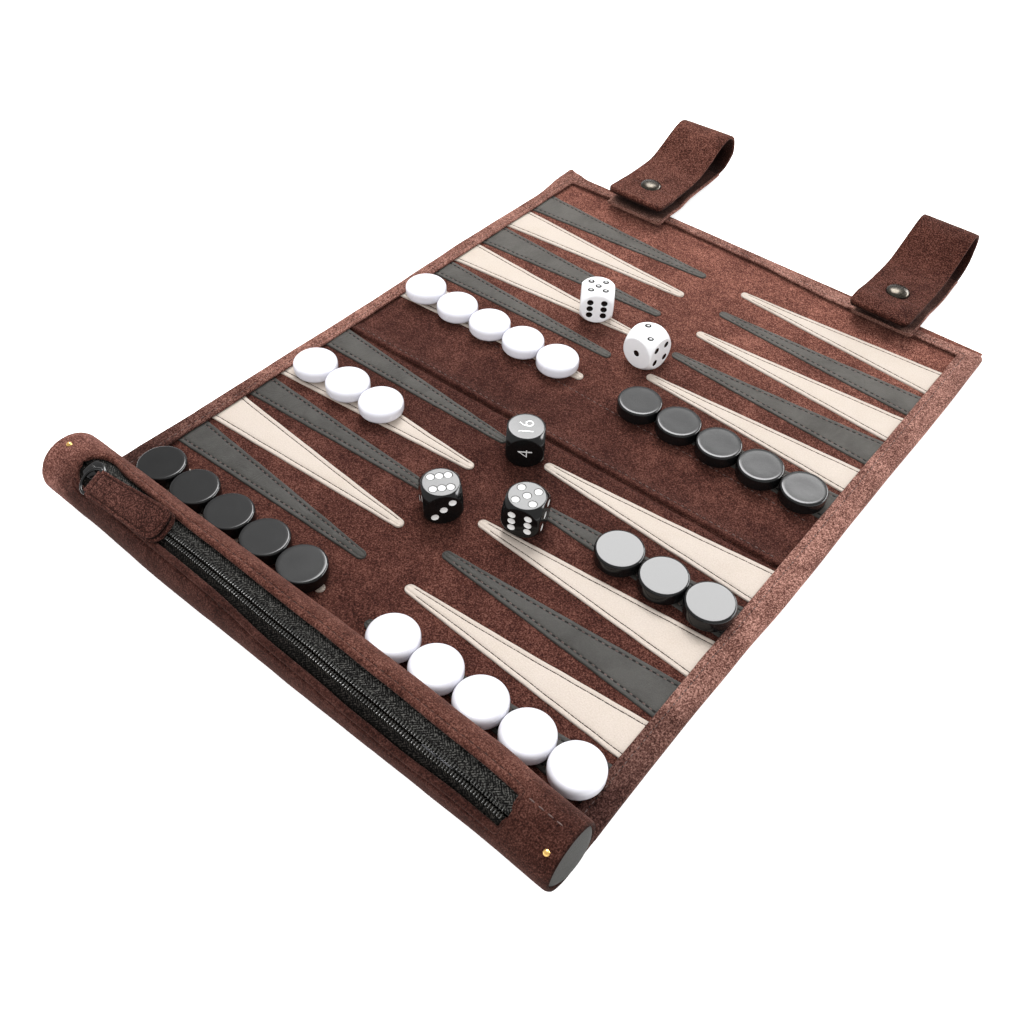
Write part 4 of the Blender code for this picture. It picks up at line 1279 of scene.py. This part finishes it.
def strap_sections(side, line, centre_x, free_end):
    """Rounded cross-sections of the strap along a line, leaning and rippling slightly.

    It narrows towards the bend; its free end is doubled, and has rounded corners.
    """
    lean, shift = STRAPS[side]["lean"], STRAPS[side]["shift"]
    near_w, bend_w = STRAPS[side]["width"]
    reach, twist = STRAPS[side]["skew"]
    across = [-1, -0.985, -0.955, -0.9, -0.8, -0.6, -0.35, 0, 0.35, 0.6, 0.8, 0.9, 0.955, 0.985, 1]
    edge_thin = [0.35, 0.75, 0.95, 0.88, 1, 1, 1.03, 1.05, 1.03, 1, 1, 0.88, 0.95, 0.75, 0.35]
    ring = list(zip(across, edge_thin))
    loop = ring + [(a, -e) for a, e in reversed(ring)]
    corner = 3.4
    sections = []
    for i, place in enumerate(line):
        before, after = line[max(0, i - 1)], line[min(len(line) - 1, i + 1)]
        tangent = (after - before) / max(1e-6, np.linalg.norm(after - before))
        normal = np.array([-tangent[1], tangent[0]])
        along = i / (len(line) - 1)
        left = np.linalg.norm(place - line[-1])
        doubled = smoothstep(15.5, 13.5, left) if i > free_end else 0.0
        thick = (STRAP_T + (STRAP_END_T - STRAP_T) * doubled) / 2
        if left < 1.2:
            thick *= math.sqrt(max(0.05, 1 - (1 - left / 1.2) ** 2))
        half = (near_w + (bend_w - near_w) * smoothstep(122, 193, place[0])) / 2
        far_share = smoothstep(145, 190, place[0])
        if left < corner:
            half -= corner - math.sqrt(max(0.0, corner ** 2 - (corner - left) ** 2))
        section = []
        for a, e in loop:
            x = centre_x + shift + lean * along + a * half + 0.25 * wobble(along * 90, a * 2 + centre_x, 6)
            ripple = 0.22 * wobble(x, along * 160, 15, 1.0) + 0.07 * wobble(x, along * 160, 4, 2.0)
            offset = normal * (thick * e + ripple + 0.35 * doubled)
            push = (reach + twist * a) * far_share
            section.append((x, place[0] + offset[0] + push, place[1] + offset[1]))
        sections.append(section)
    return sections


def make_strap(side):
    """A suede strap sewn on the far hem, looped over and closed by a snap."""
    low, high = box_mm(f"strap_base_{side}")
    centre_x = (low.x + high.x) / 2
    base, bend, flap = (spline_through(part) for part in strap_line(side))
    whole = base[:-1] + bend[:-1] + flap
    n_base, n_bend = len(base), len(base) + len(bend) - 1
    sections = strap_sections(side, whole, centre_x, n_bend)
    parts = {"base": sections[:n_base], "bend": sections[n_base - 1:n_bend],
             "flap": sections[n_bend - 1:]}
    body = f"flap_{side}"
    skins = {part: tube_loft(f"strap_{side}_{part}", rows, sharp_deg=80) for part, rows in parts.items()}
    finish_piece(skins["base"], SUEDE_BASE, "board", [f"strap_base_{side}"])
    # The base's rolled right edge is real; drawing it in the lighter hem suede paints a catch light along it.
    wire(f"strap_{side}_base_rim", [section[RIM_COLUMN] for section in parts["base"]],
         STRAPS[side]["rim"], SUEDE_HEM, "board")
    finish_piece(skins["flap"], SUEDE_STRAP, body, [f"strap_flap_{side}"])
    skins["bend"].data.materials.append(SUEDE_STRAP)
    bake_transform(skins["bend"])
    strands, holes = [], []
    for column in STITCH_COLUMNS:
        for share in (parts["flap"][4:-26], parts["flap"][-24:-3]):
            path = [Vector(section[column]) for section in share]
            more, dark = sew(path, 2.9, 0.34, up=(0, 0.25, 0.97), fill=0.55, hole=(0.6, 0.36), rise=0.06)
            strands += more
            holes += dark
    finish_piece(join_parts(f"stitches_strap_{side}", strands), THREAD_ROSE, body)
    finish_piece(join_parts(f"needle_holes_strap_{side}", holes), HOLE_SHADE, body)
    make_snap(side)


def make_snap(side):
    """Nickel snap: a domed cap over the flap, and the stud half under it."""
    cap_low, cap_high = box_mm(f"snap_cap_{side}")
    centre = ((cap_low.x + cap_high.x) / 2, (cap_low.y + cap_high.y) / 2 + 0.6, 12.35)
    profile = [(0, 1.95), (1.4, 1.88), (2.8, 1.62), (3.9, 1.22), (4.6, 0.78), (4.95, 0.38), (5.0, 0.1),
               (4.8, -0.05), (2.0, -0.05), (2.0, -1.6), (0, -1.6)]
    finish_piece(turned(f"snap_cap_{side}_dome", profile, 64, centre), NICKEL, f"flap_{side}",
                 [f"snap_cap_{side}"])
    stud_low, stud_high = box_mm(f"snap_stud_{side}")
    middle = middle_mm(f"snap_stud_{side}")
    rise = stud_high.z - stud_low.z
    profile = [(0, rise), (1.2, rise), (1.7, rise - 0.3), (1.5, rise - 1.0), (1.45, rise * 0.55),
               (2.4, rise * 0.4), (4.3, rise * 0.25), (4.6, 0.1), (4.4, 0.0), (0, 0.0)]
    finish_piece(turned(f"snap_stud_{side}_post", profile, 48, (middle.x, middle.y, stud_low.z)),
                 NICKEL, "board", [f"snap_stud_{side}"])


# ---------------------------------------------------------------- checkers

LAID_OUT = 13


def checker_profile(r, h, round_top, round_bottom):
    """Half outline of a flat disc with soft rims and a barely dished top."""
    pairs = [(0, h - 0.03), (r * 0.45, h - 0.03), (r * 0.8, h - 0.015), (r - round_top, h)]
    for k in range(1, 8):
        a = math.pi / 2 * k / 8
        pairs.append((r - round_top + round_top * math.sin(a), h - round_top + round_top * math.cos(a)))
    pairs += [(r, h - round_top), (r, h * 0.5), (r, round_bottom)]
    for k in range(1, 6):
        a = math.pi / 2 * k / 6
        pairs.append((r - round_bottom + round_bottom * math.cos(a),
                      round_bottom - round_bottom * math.sin(a)))
    pairs += [(r - round_bottom, 0), (0, 0)]
    return pairs


def make_checkers():
    """Fifteen checkers a side; the last two of each lie in the tube and keep their CAD shape."""
    looks = {"white": (WHITE_PLASTIC, 1.8, 1.9), "black": (BLACK_PLASTIC, 0.9, 1.0)}
    for colour, (material, top, bottom) in looks.items():
        for k in range(1, 16):
            node = f"checker_{colour}_{k:02d}"
            if k > LAID_OUT:
                NODES[node].data.materials.clear()
                NODES[node].data.materials.append(material)
                continue
            low, high = box_mm(node)
            radius = (high.x - low.x) / 2
            height = high.z - low.z
            centre = ((low.x + high.x) / 2, (low.y + high.y) / 2, low.z)
            obj = turned(node + "_disc", checker_profile(radius, height, top, bottom), 96, centre,
                         sharp_deg=40)
            finish_piece(obj, material, "body_" + node, [node])


# ---------------------------------------------------------------- dice

PIP_STEP = 3.07
PIP_R = 1.36
PIP_DEPTH = 0.42
PIP_RIM = PIP_R * 1.1    # a pip's hollow is a little wider than its paint
DIE_BALL = 9.65 / 14.0   # radius of the ball that rounds a die, for a die one unit high
BLEND_SHARPNESS = 13     # how tightly the cube and the ball meet
SPOTS = {
    1: [(0, 0)],
    2: [(-1, 1), (1, -1)],
    3: [(-1, -1), (0, 0), (1, 1)],
    4: [(-1, -1), (-1, 1), (1, -1), (1, 1)],
    5: [(-1, -1), (-1, 1), (0, 0), (1, -1), (1, 1)],
    6: [(-0.95, -1), (-0.95, 0), (-0.95, 1), (0.95, -1), (0.95, 0), (0.95, 1)],
}
# Each face: the axis it looks along, and the two axes its pips are laid out on.
FACE_AXES = {"+Z": (2, 1, 0, 1), "-Z": (2, -1, 0, 1), "-Y": (1, -1, 0, 2), "+Y": (1, 1, 0, 2),
             "+X": (0, 1, 1, 2), "-X": (0, -1, 1, 2)}


def die_points(half, ball, marks, count=84):
    """Points, faces and pip values of a cube rounded by a ball, with pips pressed into its faces."""
    points, values, faces = [], [], []
    ts = np.tan(np.linspace(-math.pi / 4, math.pi / 4, count))
    for face, (axis, sign, u_axis, v_axis) in FACE_AXES.items():
        start = len(points)
        spots = [(a * PIP_STEP, b * PIP_STEP) for a, b in marks.get(face, [])]
        for s in ts:
            for t in ts:
                d = np.zeros(3)
                d[axis], d[u_axis], d[v_axis] = sign, s, t
                d /= np.linalg.norm(d)
                flat = half / np.max(np.abs(d))
                p = d * (-math.log(math.exp(-flat * BLEND_SHARPNESS) + math.exp(-ball * BLEND_SHARPNESS))
                         / BLEND_SHARPNESS)
                away = min((math.hypot(p[u_axis] - a, p[v_axis] - b) for a, b in spots), default=9.0)
                if away < PIP_RIM:
                    p[axis] -= sign * (PIP_DEPTH * max(0.0, 1 - (away / PIP_RIM) ** 2) ** 0.75)
                points.append(tuple(p))
                values.append(min(1.0, max(0.0, 0.5 + (PIP_R - away))))
        faces += grid_faces(count, count, start=start)
    return points, faces, values


def make_die(node, yaw, marks, material):
    """A die placed on its CAD solid, turned by its yaw."""
    low, high = box_mm(node)
    height = high.z - low.z
    centre = Vector(((low.x + high.x) / 2, (low.y + high.y) / 2, (low.z + high.z) / 2))
    points, faces, values = die_points(height / 2, DIE_BALL * height, marks)
    turn = Matrix.Rotation(math.radians(yaw), 3, "Z")
    mesh = bpy.data.meshes.new(node + "_cube")
    mesh.from_pydata([tuple((centre + turn @ Vector(p)) * MM) for p in points], [], faces)
    layer = mesh.attributes.new("pip", "FLOAT", "POINT")
    layer.data.foreach_set("value", values)
    obj = add_object(node + "_cube", mesh)
    weld(mesh, 2e-6)
    mesh.shade_smooth()
    finish_piece(obj, material, "body_" + node, [node])
    return centre, turn, height / 2


def make_dice():
    """Four dice, each with its yaw and its top, near and right faces; opposite faces add up to 7."""
    paints = {"white": DICE_WHITE, "black": DICE_BLACK}
    for colour, number, yaw, top, near, right in (("white", 1, 34.4, 5, 6, 4), ("white", 2, -5.0, 2, 1, 4),
                                                  ("black", 1, 50.6, 6, 3, 5), ("black", 2, 19.0, 5, 6, 3)):
        values = {"+Z": top, "-Y": near, "+X": right, "+Y": 7 - near, "-X": 7 - right, "-Z": 7 - top}
        marks = {face: SPOTS[value] for face, value in values.items()}
        if top == 6:
            marks["+Z"] = [(b, a) for a, b in SPOTS[6]]
        make_die(f"die_{colour}_{number}", yaw, marks, paints[colour])
    make_doubling_cube()


def make_doubling_cube():
    """A rounded cube with the doubling numbers painted on its six faces."""
    node = "doubling_cube"
    centre, turn, half = make_die(node, 36.0, {}, DICE_BLACK)
    faces = {"16": ("+Z", 90), "4": ("-Y", 90), "8": ("+X", 0), "32": ("+Y", 0), "2": ("-X", 0),
             "64": ("-Z", 0)}
    upright = Matrix.Rotation(math.pi / 2, 3, "X")
    outward = {"+Z": Matrix.Identity(3), "-Z": Matrix.Rotation(math.pi, 3, "X"), "-Y": upright}
    for face, quarter_turns in (("+X", 1), ("+Y", 2), ("-X", -1)):
        outward[face] = Matrix.Rotation(quarter_turns * math.pi / 2, 3, "Z") @ upright
    for text, (face, spin) in faces.items():
        curve = bpy.data.curves.new("numeral_" + text, "FONT")
        curve.body = text
        curve.size = 8.2 * MM
        curve.extrude = 0.05 * MM
        curve.offset = -0.16 * MM
        curve.resolution_u = 6
        curve.align_x = "CENTER"
        curve.align_y = "CENTER"
        mesh = mesh_of_curve(curve)
        place = turn @ outward[face] @ Matrix.Rotation(math.radians(spin), 3, "Z")
        low = np.min([v.co[:] for v in mesh.vertices], axis=0)
        high = np.max([v.co[:] for v in mesh.vertices], axis=0)
        shift = Vector(((low[0] + high[0]) / 2, (low[1] + high[1]) / 2, 0))
        for v in mesh.vertices:
            v.co = centre * MM + place @ (v.co - shift + Vector((0, 0, (half + 0.02) * MM)))
        finish_piece(add_object("numeral_" + text, mesh), NUMERAL_PAINT, "body_" + node)


# ---------------------------------------------------------------- studio

def heading(a, e):
    """The direction at an azimuth, measured from +Y towards -X, and an elevation, in radians."""
    return Vector((-math.sin(a) * math.cos(e), math.cos(a) * math.cos(e), math.sin(e)))


def soft_light(name, azimuth, elevation, distance, radius, radiance):
    """A round area light aimed at the mat, which shiny surfaces don't mirror."""
    data = bpy.data.lights.new(name, "AREA")
    data.shape = "DISK"
    data.size = 2 * radius
    data.energy = radiance * math.pi * (math.pi * radius ** 2)
    obj = add_object(name, data)
    direction = heading(math.radians(azimuth), math.radians(elevation))
    obj.location = direction * distance
    obj.rotation_mode = "QUATERNION"
    obj.rotation_quaternion = direction.to_track_quat("Z", "Y")
    obj.visible_glossy = False


def reflection_card(name, azimuth, elevation, roll, distance, core, skirt, radiance):
    """A white card with a soft skirt that only shiny surfaces see; core is (x, y, half x, half y)."""
    a, e, r = (math.radians(v) for v in (azimuth, elevation, roll))
    out = heading(a, e)
    turning = Vector((-math.cos(a), -math.sin(a), 0))
    rising = Vector((math.sin(a) * math.sin(e), -math.cos(a) * math.sin(e), math.cos(e)))
    across = turning * math.cos(r) + rising * math.sin(r)
    upward = rising * math.cos(r) - turning * math.sin(r)
    bpy.ops.mesh.primitive_plane_add(size=3.2)
    card = bpy.context.object
    card.name = name
    card.matrix_world = Matrix.Translation(out * distance) \
        @ Matrix((across, upward, across.cross(upward))).transposed().to_4x4()
    n = Nodes("card_glow")
    place = n.axes(n.place())
    squares = []
    for k in range(2):
        from_middle = n.math("ABSOLUTE", n.math("SUBTRACT", place[k], core[k]))
        past = n.math("MAXIMUM", n.math("SUBTRACT", from_middle, core[k + 2]), 0.0)
        squares.append(n.math("MULTIPLY", past, past))
    away = n.math("DIVIDE", n.math("SQRT", n.math("ADD", *squares)), skirt)
    glow = n.ramp(away, [(0.0, (1, 1, 1)), (0.10, (0.50, 0.50, 0.50)), (0.17, (0.12, 0.12, 0.12)),
                         (0.40, (0.06, 0.06, 0.06)), (1.0, (0, 0, 0))])
    emit = n.add("Emission")
    n.link(n.math("MULTIPLY", glow, radiance), emit.inputs["Strength"])
    both = n.add("AddShader")
    n.link(n.add("BsdfTransparent").outputs[0], both.inputs[0])
    n.link(emit.outputs[0], both.inputs[1])
    n.link(both.outputs[0], n.output.inputs["Surface"])
    card.data.materials.append(n.material)
    for kind in ("camera", "diffuse", "shadow", "transmission"):
        setattr(card, "visible_" + kind, False)


def make_studio():
    """White surroundings, two soft lights, two cards for the shiny surfaces and a pale floor."""
    world = bpy.data.worlds.new("studio")
    world.use_nodes = True
    background = world.node_tree.nodes["Background"]
    background.inputs["Color"].default_value = (1, 1, 1, 1)
    background.inputs["Strength"].default_value = 1.0
    bpy.context.scene.world = world
    soft_light("key_softbox", 36, 55, 2.5, 0.70, 12.0)
    soft_light("front_fill", -150, 28, 2.5, 0.9, 2.4)
    reflection_card("card_far", 33, 54, -14, 2.0, (-0.065, 0.125, 0.435, 0.47), 0.6, 21.0)
    reflection_card("card_low", -34, 22, 0, 2.0, (0.0, 0.0, 0.95, 0.17), 0.2, 21.0)
    bpy.ops.mesh.primitive_plane_add(size=8, location=(0, 0, -0.0002))
    floor = bpy.context.object
    floor.name = "studio_floor"
    n = Nodes("floor_white")
    n.colour(n.ramp(n.noise(n.place(), 60), [(0.3, (0.93, 0.93, 0.93)), (0.7, (0.95, 0.95, 0.95))]))
    n.set(Roughness=0.9, Specular_IOR_Level=0.1, Emission_Color=(1, 1, 1, 1), Emission_Strength=0.6)
    floor.data.materials.append(n.material)
    bpy.context.scene.view_settings.view_transform = "Standard"


def make_camera():
    """The photograph's viewpoint: above the near right corner, looking across the mat."""
    data = bpy.data.cameras.new("camera")
    camera = add_object("camera", data)
    forward = Vector((-0.40327, 0.55181, -0.72999))
    right = Vector((0.77936, 0.62517, 0.04204))
    up = right.cross(forward).normalized()
    right = forward.cross(up).normalized()
    turn = Matrix((right, up, -forward)).transposed()
    camera.matrix_world = Matrix.Translation((0.16376, -0.26109, 0.27168)) @ turn.to_4x4()
    data.sensor_width = 36.0
    data.lens = 36.65
    data.shift_x = -0.0071
    data.shift_y = -0.0071
    data.clip_start = 0.01
    data.clip_end = 50
    bpy.context.scene.camera = camera


make_camera()
make_studio()
make_backing()
make_field_panel("field_suede_near", "field_panel_near", MAT_NEAR_Y + 2.0,
                 box_mm("field_panel_near")[1].y, False)
make_field_panel("field_suede_far", "field_panel_far", SEAM_Y, box_mm("field_panel_far")[1].y, True)
make_points()
make_field_stitches()
make_tube_cover()
make_tube_tail()
make_tapes()
make_coil()
make_tube_stitches()
make_end_plugs()
make_nails()
make_slider()
make_tab()
for strap_side in STRAPS:
    make_strap(strap_side)
make_checkers()
make_dice()
